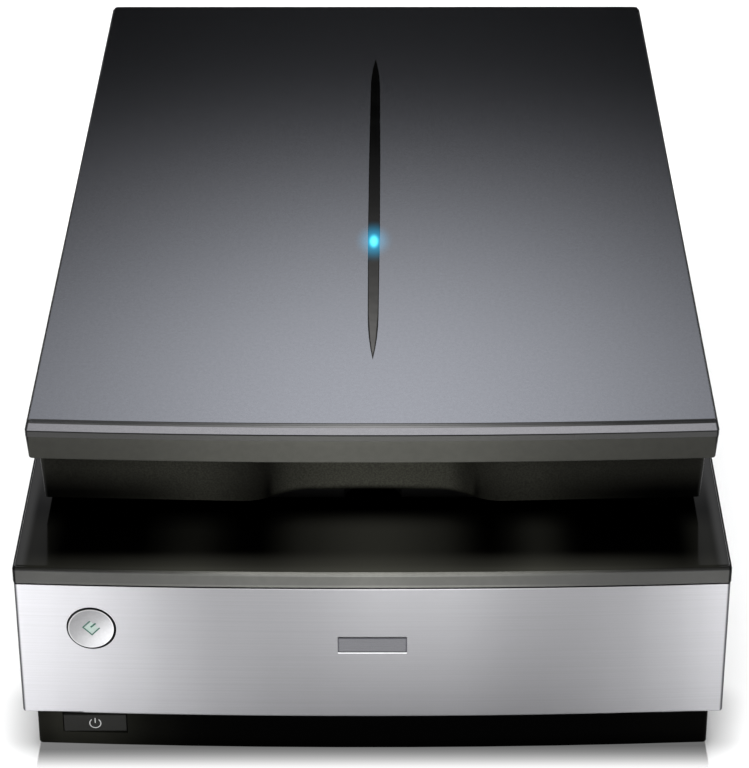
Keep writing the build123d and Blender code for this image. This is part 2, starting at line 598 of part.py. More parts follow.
with BuildPart() as hinge_posts:
    for x in (-HINGE_X, HINGE_X):
        block(x - POST_W / 2, x + POST_W / 2, HINGE_Y - POST_D / 2, HINGE_Y + POST_D / 2, POST_LOW, HINGE_Z)
        along_x(HINGE_Y, HINGE_Z, x - POST_W / 2, x + POST_W / 2, POST_D / 2)
        block(x - 8, x + 8, HINGE_Y - 9, HINGE_Y + 9, HINGE_Z - 9, HINGE_Z + 9, mode=Mode.SUBTRACT)
        along_x(HINGE_Y, HINGE_Z, x - POST_W / 2 - 1, x + POST_W / 2 + 1, PIN_R, mode=Mode.SUBTRACT)
        for z in (52, 62, 72, 82):
            block(x - 14, x + 14, HINGE_Y - 9, HINGE_Y - 6.5, z, z + 6, mode=Mode.SUBTRACT)
save(hinge_posts, "hinge_posts")

with BuildPart() as hinge_pins:
    for x in (-HINGE_X, HINGE_X):
        along_x(HINGE_Y, HINGE_Z, x - 20.8, x + 20.8, PIN_R)
save(hinge_pins, "hinge_pins")

with BuildPart() as hinge_springs:
    # counterbalance coils round the pins
    for x in (-HINGE_X, HINGE_X):
        with BuildLine() as coil_path:
            Helix(2.2, 13.2, 5.2, center=(x - 6.6, HINGE_Y, HINGE_Z), direction=(1, 0, 0))
        with BuildSketch(Plane(origin=coil_path.line @ 0, z_dir=coil_path.line % 0)):
            Circle(0.8)
        sweep()
save(hinge_springs, "hinge_springs")

with BuildPart() as hinge_brackets:
    # folded steel in the lid, with an ear on each side of the post
    for x in (-HINGE_X, HINGE_X):
        block(x - 21, x + 21, HINGE_Y - 8, HINGE_Y + 8, 124.6, 126)
        for side in (-1, 1):
            block(x + side * 19.7 - 1, x + side * 19.7 + 1, HINGE_Y - 7, HINGE_Y + 7, HINGE_Z, 125)
            along_x(HINGE_Y, HINGE_Z, x + side * 19.7 - 1, x + side * 19.7 + 1, 7)
        along_x(HINGE_Y, HINGE_Z, x - 22, x + 22, PIN_R + 0.06, mode=Mode.SUBTRACT)
save(hinge_brackets, "hinge_brackets")

# ================================================================ lid shells


def grip_outline(z, half_width, front, rear, inset, radius):
    """Plan outline of the lid's lower shell, with the finger recess in the middle of its front."""
    flat, shoulder, deep = 27.0 + inset, 57.0 + inset, 10.6
    a, b = half_width - inset, rear - inset
    f = front + inset
    with BuildSketch(Plane.XY.offset(z)) as outline:
        with BuildLine():
            Line((-a, f + BOW), (-shoulder, f + 0.6))
            Spline((-shoulder, f + 0.6), (-flat, f + deep), tangents=((1, 0), (1, 0)))
            Line((-flat, f + deep), (flat, f + deep))
            Spline((flat, f + deep), (shoulder, f + 0.6), tangents=((1, 0), (1, 0)))
            Line((shoulder, f + 0.6), (a, f + BOW))
            Polyline((a, f + BOW), (a, b), (-a, b), (-a, f + BOW))
        make_face()
        fillet(outline.vertices().group_by(Axis.Y)[-1], 1.5 * radius)
        corners = outline.vertices().filter_by(lambda v: abs(abs(v.X) - a) < 0.01 and v.Y < 0)
        fillet(corners, radius)
    return outline.sketch


with BuildPart() as lid_inner_shell:
    draft = 1.5
    loft(
        [
            grip_outline(SHELL_LOW, SHELL_HALF, SHELL_FRONT, SHELL_REAR, 0, 2),
            grip_outline(FRAME_LOW, SHELL_HALF + draft, SHELL_FRONT - draft, SHELL_REAR + 1, 0, 2),
        ],
        ruled=True,
    )
    extrude(
        grip_outline(SHELL_LOW + WALL, SHELL_HALF, SHELL_FRONT, SHELL_REAR, WALL, 0.6),
        amount=FRAME_LOW,
        mode=Mode.SUBTRACT,
    )
    # window for the film lamp
    with Locations((0, WINDOW_Y, SHELL_LOW)):
        Box(206, 258, 12, mode=Mode.SUBTRACT)
    # hinge pockets, open below and behind
    for x in (-HINGE_X, HINGE_X):
        block(x - 23.5, x + 23.5, 222, SHELL_REAR - 0.5, SHELL_LOW, 128)
        block(x - 21.3, x + 21.3, 224.2, REAR, SHELL_LOW - 1, 126, mode=Mode.SUBTRACT)
    # ends of the film lamp's guide rod, ledge for its far side, idler pin, screw bosses
    for y0, y1 in ((-190, -183), (172, 179)):
        block(FILM_ROD_X - 5, FILM_ROD_X + 5, y0, y1, SHELL_LOW + 1, FILM_ROD_Z + 5)
    along_y(FILM_ROD_X, FILM_ROD_Z, -187, 176, FILM_ROD_R, mode=Mode.SUBTRACT)
    block(-116, -112, -170, 150, SHELL_LOW + 1, LAMP_LOW - 0.1)
    post(FILM_BELT_X, FILM_BELT_FRONT, SHELL_LOW + 1, 124, 1.5)
    post(FILM_BELT_X, FILM_BELT_FRONT, SHELL_LOW + 1, 113.5, 3)
    for x in (-136, 136):
        for y in (-190, 210):
            post(x, y, SHELL_LOW + 1, FRAME_LOW, 4)
save(lid_inner_shell, "lid_inner_shell")

with BuildPart() as lid_side_frame:
    loft(
        [
            bowed(FRAME_LOW, LID_HALF - 1, LID_FRONT + 0.3, LID_REAR - 0.8, 1.8, 3),
            bowed(PANEL_LOW, LID_HALF - 0.1, LID_FRONT + 0.1, LID_REAR - 0.1, 1.8, 3),
        ],
        ruled=True,
    )
    fillet(lid_side_frame.edges().group_by(Axis.Z)[0], 0.7)
    extrude(
        bowed(FRAME_LOW + 2, LID_HALF - 3.4, LID_FRONT + 2.8, LID_REAR - 3.4, 1, 1.5),
        amount=20,
        mode=Mode.SUBTRACT,
    )
    with Locations((0, (SHELL_FRONT + SHELL_REAR) / 2 + 6, FRAME_LOW)):
        Box(2 * SHELL_HALF - 6, SHELL_REAR - SHELL_FRONT - 20, 12, mode=Mode.SUBTRACT)
save(lid_side_frame, "lid_side_frame")


def slit_outline(z, grow):
    """Long pointed slot down the middle of the lid, widened by grow all round."""
    w, shoulder = SLIT_W / 2 + grow, SLIT_HALF - 42
    tip = SLIT_HALF + 3 * grow
    low, high = SLIT_Y - shoulder, SLIT_Y + shoulder
    with BuildSketch(Plane.XY.offset(z)) as outline:
        with BuildLine():
            for side in (-1, 1):
                ThreePointArc((side * w * 0.86, low), (side * w, SLIT_Y), (side * w * 0.86, high))
                for end in (-1, 1):
                    ThreePointArc(
                        (side * w * 0.86, SLIT_Y + end * shoulder),
                        (side * w * 0.56, SLIT_Y + end * (shoulder + 25)),
                        (0, SLIT_Y + end * tip),
                    )
        make_face()
    return outline.sketch


with BuildPart() as lid_top_panel:
    # flat ledge round the raised field, which is cut through by the slit
    extrude(bowed(PANEL_LOW, LID_HALF, LID_FRONT, LID_REAR, 1.8, 3), amount=LEDGE_TOP - PANEL_LOW)
    fillet(lid_top_panel.edges().group_by(Axis.Z)[-1], 0.25)
    extrude(
        bowed(LEDGE_TOP - 1, LID_HALF - LEDGE_SIDE, LEDGE_FRONT, LID_REAR - LEDGE_SIDE, 1.2, 2.2),
        amount=HEIGHT - LEDGE_TOP + 1,
    )
    fillet(lid_top_panel.edges().group_by(Axis.Z)[-1], 0.25)
    extrude(
        bowed(PANEL_LOW - 1, LID_HALF - 3.8, LEDGE_FRONT + 2.2, LID_REAR - 3.8, 1, 1.5),
        amount=HEIGHT - 2.2 - PANEL_LOW + 1,
        mode=Mode.SUBTRACT,
    )
    extrude(slit_outline(PANEL_LOW, 0), amount=10, mode=Mode.SUBTRACT)
save(lid_top_panel, "lid_top_panel")

with BuildPart() as slit_window:
    # smoked strip in the slit, with a flange under the panel
    extrude(slit_outline(HEIGHT - 2.2, -0.12), amount=1.9)
    extrude(slit_outline(HEIGHT - 3.6, 1.2), amount=1.4)
    post(0, LED_Y, HEIGHT - 4, HEIGHT - 1.6, 1.6, mode=Mode.SUBTRACT)
save(slit_window, "slit_window")

with BuildPart() as status_led:
    post(0, LED_Y, HEIGHT - 4.4, HEIGHT - 1.8, 1.5)
    fillet(status_led.edges().group_by(Axis.Z)[-1], 1.2)
    block(-4, 4, LED_Y - 10, LED_Y + 10, HEIGHT - 5.6, HEIGHT - 4.4)
save(status_led, "status_led")

with BuildPart() as film_diffuser:
    with Locations((0, WINDOW_Y, SHELL_LOW + WALL + 1.2)):
        Box(212, 264, 2.4)
save(film_diffuser, "film_diffuser")

with BuildPart() as mat_rails:
    # angle strips that the document mat slides in, closed at the back
    for side in (-1, 1):
        x_in, x_wall, x_out = 112.6, 116.6, 118.5
        low, lip = 101.4, 103.0
        block(*sorted((side * x_wall, side * x_out)), MAT_FRONT, MAT_REAR + 2, low, SHELL_LOW)
        block(*sorted((side * x_in, side * x_out)), MAT_FRONT, MAT_REAR + 2, low, lip)
        block(*sorted((side * 104, side * x_out)), MAT_REAR + 0.4, MAT_REAR + 2, lip + 0.3, SHELL_LOW)
save(mat_rails, "mat_rails")

with BuildPart() as lid_bumpers:
    for x in (-127, 127):
        for y in (-182, 196):
            post(x, y, DECK + 0.1, SHELL_LOW, 4.5)
    fillet(lid_bumpers.edges().group_by(Axis.Z)[0], 1)
save(lid_bumpers, "lid_bumpers")

with BuildPart() as lid_board:
    block(-42, 42, 180, 214, SHELL_LOW + WALL, SHELL_LOW + WALL + 1.6)
    block(-30, -14, 188, 204, SHELL_LOW + WALL + 1.6, SHELL_LOW + WALL + 4)
    block(4, 34, 206, 212, SHELL_LOW + WALL + 1.6, SHELL_LOW + WALL + 7)
save(lid_board, "lid_board")

# ================================================================ film lamp and its drive

with BuildPart() as film_guide_rod:
    along_y(FILM_ROD_X, FILM_ROD_Z, -187, 176, FILM_ROD_R)
save(film_guide_rod, "film_guide_rod")

with BuildPart() as film_lamp:
    # lamp housing open downwards, with a bearing block on the rod and a claw on the belt
    block(-106, 104, LAMP_Y - 11, LAMP_Y + 11, LAMP_LOW, LAMP_TOP)
    block(-100, 100, LAMP_Y - 8, LAMP_Y + 8, LAMP_LOW - 1, LAMP_TOP - 3, mode=Mode.SUBTRACT)
    block(103, FILM_ROD_X + 6, LAMP_Y - 14, LAMP_Y + 14, LAMP_LOW, LAMP_TOP)
    along_y(FILM_ROD_X, FILM_ROD_Z, LAMP_Y - 15, LAMP_Y + 15, FILM_ROD_R + 0.05, mode=Mode.SUBTRACT)
    block(-118, -105, LAMP_Y - 8, LAMP_Y + 8, LAMP_LOW, LAMP_LOW + 5)
    film_strand = FILM_BELT_X - FILM_BELT_R - BELT_T / 2
    block(FILM_ROD_X + 5, film_strand + 2.4, LAMP_Y - 6, LAMP_Y + 6, LAMP_LOW, LAMP_TOP - 2)
    block(
        film_strand - BELT_T / 2 - GAP, film_strand + BELT_T / 2 + GAP, LAMP_Y - 7, LAMP_Y + 7,
        FILM_BELT_Z - GAP, FILM_BELT_Z + FILM_BELT_W + GAP, mode=Mode.SUBTRACT,
    )
save(film_lamp, "film_lamp")

with BuildPart() as film_belt:
    belt_loop(FILM_BELT_X, FILM_BELT_REAR, FILM_BELT_FRONT, FILM_BELT_R, FILM_BELT_Z, FILM_BELT_W)
save(film_belt, "film_belt")

with BuildPart() as film_drive_pulley:
    pulley(FILM_BELT_X, FILM_BELT_REAR, FILM_BELT_Z, FILM_BELT_R - GAP, FILM_BELT_W, 6.6, 0.8)
    post(FILM_BELT_X, FILM_BELT_REAR, FILM_BELT_Z - 1.4, 129, 1.5)
save(film_drive_pulley, "film_drive_pulley")

with BuildPart() as film_idler_pulley:
    pulley(FILM_BELT_X, FILM_BELT_FRONT, FILM_BELT_Z, FILM_BELT_R - GAP, FILM_BELT_W, 6.6, 1.55)
save(film_idler_pulley, "film_idler_pulley")

with BuildPart() as film_motor:
    # motor on a stand over its pulley
    post(FILM_BELT_X, FILM_BELT_REAR, 124.4, 140, 11.5)
    post(FILM_BELT_X, FILM_BELT_REAR, 124, 130, 2, mode=Mode.SUBTRACT)
    block(FILM_BELT_X - 12, FILM_BELT_X + 8, FILM_BELT_REAR + 9, FILM_BELT_REAR + 14, SHELL_LOW + WALL, 128)
save(film_motor, "film_motor")

# ================================================================ document mat

with BuildPart() as document_mat:
    # white pad on a stiff backing whose edges run in the rails; finger notch at the front
    block(-111, 111, MAT_FRONT, MAT_REAR, MAT_LOW, 103.5)
    block(-116, 116, MAT_FRONT, MAT_REAR, 103.4, 106.1)
    post(0, MAT_FRONT - 2, MAT_LOW - 1, 107, 13, mode=Mode.SUBTRACT)
save(document_mat, "document_mat")
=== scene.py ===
import json
import math

import bpy
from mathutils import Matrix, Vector


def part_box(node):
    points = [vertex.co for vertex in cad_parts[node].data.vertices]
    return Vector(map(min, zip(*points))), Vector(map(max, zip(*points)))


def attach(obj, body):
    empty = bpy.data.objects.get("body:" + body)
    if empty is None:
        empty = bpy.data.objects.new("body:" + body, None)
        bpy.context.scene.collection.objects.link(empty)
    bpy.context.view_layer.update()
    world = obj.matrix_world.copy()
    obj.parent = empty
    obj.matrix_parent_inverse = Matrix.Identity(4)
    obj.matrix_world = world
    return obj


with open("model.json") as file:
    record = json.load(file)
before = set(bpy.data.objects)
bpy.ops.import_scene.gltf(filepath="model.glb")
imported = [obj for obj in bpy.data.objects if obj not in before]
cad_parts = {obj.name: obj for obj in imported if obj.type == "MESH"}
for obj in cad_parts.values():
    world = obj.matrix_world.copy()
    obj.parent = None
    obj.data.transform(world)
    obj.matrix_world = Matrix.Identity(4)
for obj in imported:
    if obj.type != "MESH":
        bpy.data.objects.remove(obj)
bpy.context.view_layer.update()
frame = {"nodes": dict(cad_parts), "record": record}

NODES = frame["nodes"]
MM = 0.001

# ------------------------------------------------------------------ places read from the model

TOP_LO, TOP_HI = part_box("lid_top_panel")
SIDE_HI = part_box("lid_side_frame")[1]
SHELL_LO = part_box("lid_inner_shell")[0]
DECK_LO, DECK_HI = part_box("upper_case")
PANEL_LO, PANEL_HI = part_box("front_panel")
BADGE_LO, BADGE_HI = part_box("front_badge")
CASE_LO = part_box("lower_case")[0]
START_LO, START_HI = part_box("start_button")
POWER_LO, POWER_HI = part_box("power_button")
GLASS_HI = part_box("document_glass")[1]
LED_LO, LED_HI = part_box("status_led")
SHOULDER_Z = DECK_HI.z - 1.0 * MM
LEDGE_Z = TOP_HI.z - 1.1 * MM
RISER_Y = TOP_LO.y + 8.1 * MM
LED_AT = Vector((0.0, (LED_LO.y + LED_HI.y) / 2, LED_HI.z))
START_AT = Vector(((START_LO.x + START_HI.x) / 2, START_HI.y - 8.5 * MM, (START_LO.z + START_HI.z) / 2))
POWER_AT = Vector(((POWER_LO.x + POWER_HI.x) / 2, POWER_LO.y, (POWER_LO.z + POWER_HI.z) / 2))

# half widths in millimetres, out to where each face turns its rounded corner and painted shade makes it black
LID_TOP_HALF = 147.2
LID_FACE_HALF = 146.9
BAND_HALF = 152.7


# ------------------------------------------------------------------ shader graphs


class Graph:
    """Short ways to build a material's node graph."""

    def __init__(self, tree):
        self.tree = tree
        self.coords = None

    def node(self, kind, settings=None, **sockets):
        made = self.tree.nodes.new("ShaderNode" + kind)
        for key, value in (settings or {}).items():
            setattr(made, key, value)
        for key, value in sockets.items():
            self.put(made.inputs[key.replace("_", " ")], value)
        return made

    def put(self, socket, value):
        if isinstance(value, bpy.types.NodeSocket):
            self.tree.links.new(value, socket)
        else:
            socket.default_value = value

    def position(self):
        if self.coords is None:
            self.coords = self.node("TexCoord").outputs["Object"]
        return self.coords

    def stretched(self, sx, sy, sz):
        mapping = self.node("Mapping", {"vector_type": "POINT"}, Vector=self.position())
        mapping.inputs["Scale"].default_value = (sx, sy, sz)
        return mapping.outputs["Vector"]

    def noise(self, scale, detail=2.0, rough=0.5, vector=None):
        made = self.node("TexNoise", {"noise_dimensions": "3D"}, Scale=scale, Detail=detail, Roughness=rough)
        self.put(made.inputs["Vector"], vector or self.position())
        return made.outputs["Fac"]

    def math(self, operation, a, b=0.0):
        made = self.node("Math", {"operation": operation})
        self.put(made.inputs[0], a)
        self.put(made.inputs[1], b)
        return made.outputs[0]

    def product(self, first, *others):
        for other in others:
            first = self.math("MULTIPLY", first, other)
        return first

    def inverse(self, value):
        """1 minus a number."""
        return self.math("SUBTRACT", 1.0, value)

    def length(self, vector):
        made = self.node("VectorMath", {"operation": "LENGTH"})
        self.put(made.inputs[0], vector)
        return made.outputs["Value"]

    def lerp(self, factor, a, b):
        """A number that goes from a to b as the factor goes from 0 to 1."""
        made = self.node("Mix", {"data_type": "FLOAT"})
        self.put(made.inputs[0], factor)
        self.put(made.inputs[2], a)
        self.put(made.inputs[3], b)
        return made.outputs[0]

    def remap(self, value, low, high, to_low, to_high):
        made = self.node("MapRange", {"clamp": True, "interpolation_type": "SMOOTHSTEP"})
        for socket, number in zip(made.inputs[:5], (value, low, high, to_low, to_high)):
            self.put(socket, number)
        return made.outputs["Result"]

    def mix(self, factor, a, b):
        made = self.node("Mix", {"data_type": "RGBA"})
        self.put(made.inputs[0], factor)
        self.put(made.inputs[6], a)
        self.put(made.inputs[7], b)
        return made.outputs[2]

    def axis(self, name):
        return self.node("SeparateXYZ", Vector=self.position()).outputs[name]

    def ramp(self, place, stops, low, high):
        """A grey level through (millimetres, level) stops, at a place that runs from 0 to 1."""
        ramp = self.node("ValToRGB", Fac=place)
        ramp.color_ramp.interpolation = "CARDINAL"
        elements = ramp.color_ramp.elements
        while len(elements) < len(stops):
            elements.new(0.5)
        for element, (x, level) in zip(elements, stops):
            element.position = (x - low) / (high - low)
            element.color = rgb(level)
        return ramp.outputs["Color"]

    def between(self, value, low, high):
        """0 at low, 1 at high (millimetres), straight in between."""
        place = self.node("MapRange", {"clamp": True})
        for socket, number in zip(place.inputs[:3], (value, low * MM, high * MM)):
            self.put(socket, number)
        return place.outputs[0]

    def across(self, *stops):
        """A grey level that follows the X position, through (millimetres, level) stops."""
        return self.profile(self.axis("X"), *stops)

    def profile(self, value, *stops):
        """A grey level that follows a length, through (millimetres, level) stops."""
        low, high = stops[0][0], stops[-1][0]
        return self.ramp(self.between(value, low, high), stops, low, high)

    def beyond(self, half, soft=0.35):
        """1 further from the middle of the machine than half (millimetres), else 0."""
        side = self.math("ABSOLUTE", self.axis("X"))
        return self.remap(side, (half - soft) * MM, (half + soft) * MM, 0.0, 1.0)

    def near(self, value, middle, half, soft):
        """1 where a length is within half of the middle, 0 past half and soft together (millimetres)."""
        off = self.math("ABSOLUTE", self.math("SUBTRACT", value, middle * MM))
        return self.remap(off, half * MM, (half + soft) * MM, 1.0, 0.0)

    def times(self, colour, other):
        """Two colours multiplied."""
        made = self.node("Mix", {"data_type": "RGBA", "blend_type": "MULTIPLY"})
        made.inputs[0].default_value = 1.0
        self.put(made.inputs[6], colour)
        self.put(made.inputs[7], other)
        return made.outputs[2]

    def grey(self, value):
        """A number as a colour."""
        return self.node("CombineColor", Red=value, Green=value, Blue=value).outputs[0]

    def bump(self, height, strength, distance):
        made = self.node("Bump", Strength=strength, Distance=distance, Height=height)
        return made.outputs["Normal"]


def rgb(r, g=None, b=None):
    return (r, r if g is None else g, r if b is None else b, 1.0)


def surface(name, **sockets):
    """A new material, its Principled shader and its graph."""
    material = bpy.data.materials.new(name)
    material.use_nodes = True
    principled = material.node_tree.nodes["Principled BSDF"]
    graph = Graph(material.node_tree)
    for key, value in sockets.items():
        principled.inputs[key.replace("_", " ")].default_value = value
    return material, principled, graph


def vary(graph, base, amount, scale):
    """A base colour, lighter and darker by an amount over a noise of that scale."""
    factor = graph.noise(scale, 3.0)
    dark = tuple(c * (1 - amount) for c in base[:3]) + (1.0,)
    light = tuple(c * (1 + amount) for c in base[:3]) + (1.0,)
    return graph.mix(graph.remap(factor, 0.3, 0.7, 0.0, 1.0), dark, light)


def moulded(name, base, rough=0.45, grain=1400.0, relief=0.12, depth=0.05 * MM, level=0.5, mottle=0.06):
    """Injection-moulded plastic: fine grain, faint mottling, slightly uneven sheen."""
    material, principled, g = surface(name, Specular_IOR_Level=level)
    g.put(principled.inputs["Base Color"], vary(g, base, mottle, 60.0))
    uneven = g.noise(35.0, 4.0)
    g.put(principled.inputs["Roughness"], g.remap(uneven, 0.25, 0.75, rough - 0.08, rough + 0.08))
    g.put(principled.inputs["Normal"], g.bump(g.noise(grain, 3.0), relief, depth))
    return material


def glossy(name, base, rough=0.06, level=0.5, wipe=0.03):
    """Polished moulding: near mirror, with faint wipe marks and a little orange peel."""
    material, principled, g = surface(name, Specular_IOR_Level=level)
    g.put(principled.inputs["Base Color"], vary(g, base, 0.05, 40.0))
    marks = g.noise(26.0, 5.0, 0.65, g.stretched(1.0, 3.0, 1.0))
    g.put(principled.inputs["Roughness"], g.remap(marks, 0.4, 0.8, rough, rough + wipe))
    g.put(principled.inputs["Normal"], g.bump(g.noise(90.0, 1.0), 0.02, 0.02 * MM))
    return material


def metal(name, base, rough=0.3, streak=(4.0, 4.0, 900.0), relief=0.06):
    """Drawn, rolled or ground metal: streaks along its working direction."""
    material, principled, g = surface(name, Metallic=1.0)
    lines = g.noise(1.0, 3.0, 0.6, g.stretched(*streak))
    g.put(principled.inputs["Base Color"], g.mix(lines, rgb(*[c * 0.86 for c in base]), rgb(*base)))
    g.put(principled.inputs["Roughness"], g.remap(lines, 0.3, 0.7, rough * 0.8, rough * 1.25))
    g.put(principled.inputs["Normal"], g.bump(lines, relief, 0.02 * MM))
    return material


def led_glow(g, principled, strength, reach):
    """Painted glow: blue light given off by this surface round the status lamp, further along the slit than
    across it.
    """
    offset = g.node("VectorMath", {"operation": "SUBTRACT"})
    g.put(offset.inputs[0], g.position())
    offset.inputs[1].default_value = LED_AT
    distances = []
    for along in (0.5, 0.33):
        squeeze = g.node("VectorMath", {"operation": "MULTIPLY"})
        g.put(squeeze.inputs[0], offset.outputs[0])
        squeeze.inputs[1].default_value = (1.0, along, 0.4)
        distances.append(g.length(squeeze.outputs[0]))
    halo = g.math("POWER", g.remap(distances[0], 0.0, reach * MM, 1.0, 0.0), 1.3)
    core = g.remap(distances[1], 0.5 * MM, 3.2 * MM, 1.0, 0.0)
    g.put(principled.inputs["Emission Color"], g.mix(core, rgb(0.02, 0.36, 0.62), rgb(0.1, 0.85, 1.0)))
    g.put(principled.inputs["Emission Strength"], g.product(g.math("ADD", halo, core), strength))


def from_start(g):
    """How far right, up and outward from the middle of the start button, across the panel."""
    right = g.math("SUBTRACT", g.axis("X"), START_AT.x)
    up = g.math("SUBTRACT", g.axis("Z"), START_AT.z)
    return right, up, g.length(g.node("CombineXYZ", X=right, Z=up).outputs[0])


# grey level of the lid's front face at places from left to right, in millimetres: a painted highlight,
# lightest in the middle and darker towards the ends
FACE_SHEEN_GREY = (
    (-150, 0.031), (-117, 0.037), (-95, 0.045), (-73, 0.058), (-52, 0.066), (-30, 0.0725), (-8, 0.075),
    (17, 0.0705), (34, 0.0685), (56, 0.0585), (77, 0.0475), (99, 0.0395), (120, 0.033), (150, 0.029),
)


def lid_step(g, height, low):
    """Where the step behind the lid's bowed front edge is, and its colour: a painted highlight lightest in
    the middle, painted shade on the step's foot, and two thin dark lines of painted shade along its edges.
    """
    side = g.axis("X")
    bow = g.product(side, side, 4.0 * MM / 0.147**2)
    ahead = g.math("SUBTRACT", g.math("ADD", bow, RISER_Y), g.axis("Y"))
    toe = g.product(g.near(ahead, 0.75, 1.15, 0.2), low)
    step = g.math("MAXIMUM", toe, g.remap(height, 0.1 * MM, 0.15 * MM, 0.0, 1.0))
    step = g.product(step, g.remap(height, 1.02 * MM, 1.06 * MM, 1.0, 0.0))
    # painted highlight on the step: lightest in the middle of the machine, darker towards its ends
    shade = g.across(
        (-148, 0.05), (-130, 0.056), (-95, 0.085), (-47, 0.185), (0, 0.28), (47, 0.16), (99, 0.055),
        (133, 0.03), (148, 0.026),
    )
    # painted shade: the step's foot darker
    shade = g.times(shade, g.mix(low, rgb(1.0), rgb(0.6)))
    # painted shade: thin dark lines along the step's lower and upper edges
    lower_shade_line = g.remap(ahead, 1.4 * MM, 1.6 * MM, 0.0, 0.5)
    upper_shade_line = g.remap(height, 0.68 * MM, 0.8 * MM, 0.0, 0.85)
    return step, g.mix(g.math("MAXIMUM", lower_shade_line, upper_shade_line), shade, rgb(0.03))


def make_lid_top():
    """Metallic grey paint with fine flake, and a painted sheen lighter towards the ends of the ledge; the
    step is matt, with painted light and shade; painted shade makes the sides black and a thin line along the
    ledge's front edge dark; a painted blue glow lies round the status lamp. Satin grey with a painted sheen
    covers the edge below.
    """
    material, principled, g = surface("lid_top")
    flake = g.noise(1900.0, 2.0, 0.7)
    tint = g.mix(g.remap(flake, 0.25, 0.75, 0.0, 1.0), rgb(0.302, 0.312, 0.35), rgb(0.362, 0.374, 0.415))
    tint = g.times(tint, g.grey(g.remap(g.noise(520.0, 3.0, 0.75), 0.3, 0.7, 0.965, 1.035)))
    cloud = g.remap(g.noise(9.0, 2.0), 0.3, 0.7, 0.0, 1.0)
    tint = g.mix(g.product(cloud, 0.06), tint, rgb(0.26, 0.27, 0.30))
    height = g.math("SUBTRACT", g.axis("Z"), LEDGE_Z)
    low = g.remap(height, 0.02 * MM, 0.08 * MM, 1.0, 0.0)
    # painted sheen: the ledge lighter towards its ends
    ledge = g.product(low, g.across((-148, 0.36), (-60, 0.1), (0, 0.02), (60, 0.08), (148, 0.32)))
    tint = g.times(tint, g.grey(g.math("ADD", ledge, 1.0)))
    tint = g.times(tint, g.mix(low, rgb(1.0), rgb(1.02, 0.975, 0.925)))
    step, riser = lid_step(g, height, low)
    # painted shade: a thin dark line along the ledge's rounded front edge, in place of its highlight
    rim = g.remap(height, -0.12 * MM, -0.06 * MM, 1.0, 0.0)
    edge = g.remap(height, -0.6 * MM, -0.5 * MM, 1.0, 0.0)
    # painted sheen on the edge below the ledge: the face's grey, lightest in the middle and darker towards
    # the ends
    fall = g.across((-148, 0.14), (-95, 0.29), (-47, 0.59), (0, 0.64), (47, 0.61), (95, 0.29), (148, 0.19))
    painted_sheen = g.times(g.times(g.across(*FACE_SHEEN_GREY), fall), rgb(1.0, 1.0, 0.9))
    # painted shade: the sides past the rounded corners made a black mirror
    ends = g.product(g.beyond(LID_TOP_HALF), 0.96)
    colour = g.mix(step, tint, riser)
    colour = g.mix(rim, colour, rgb(0.02))
    colour = g.mix(edge, colour, painted_sheen)
    g.put(principled.inputs["Base Color"], g.mix(ends, colour, rgb(0.0005)))
    painted = g.product(g.inverse(step), g.inverse(edge))
    g.put(principled.inputs["Metallic"], g.math("MAXIMUM", painted, ends))
    g.put(principled.inputs["Roughness"], g.remap(flake, 0.3, 0.7, 0.075, 0.11))
    g.put(principled.inputs["Normal"], g.bump(flake, 0.05, 0.02 * MM))
    # painted blue glow round the status lamp
    led_glow(g, principled, 0.62, 10.5)
    return material


def grey_face(g, tint, half, *stops):
    """Grey paint with a painted highlight that is lightest in the middle of the machine, and painted shade
    that makes it black round its corners.
    """
    grey = g.times(vary(g, tint, 0.04, 300.0), g.across(*stops))
    return g.mix(g.beyond(half), grey, rgb(0.0005))


def make_lid_face():
    """Satin grey side frame of the lid, with a painted highlight making it a little lighter along its upper
    edge, painted sheen lightest in the middle and painted shade black round its corners.
    """
    material, principled, g = surface("lid_face", Specular_IOR_Level=0.05)
    # painted highlight: lighter towards the frame's upper edge
    lift = g.grey(g.remap(g.axis("Z"), SIDE_HI.z - 4.0 * MM, SIDE_HI.z, 1.1, 1.17))
    grey = grey_face(g, rgb(1.0, 1.0, 0.88), LID_FACE_HALF, *FACE_SHEEN_GREY)
    g.put(principled.inputs["Base Color"], g.times(grey, lift))
    # painted shade: a black mirror round the corners
    g.put(principled.inputs["Metallic"], g.beyond(LID_FACE_HALF))
    g.put(principled.inputs["Roughness"], g.remap(g.noise(35.0, 4.0), 0.25, 0.75, 0.36, 0.46))
    g.put(principled.inputs["Normal"], g.bump(g.noise(1500.0, 3.0), 0.08, 0.03 * MM))
    return material


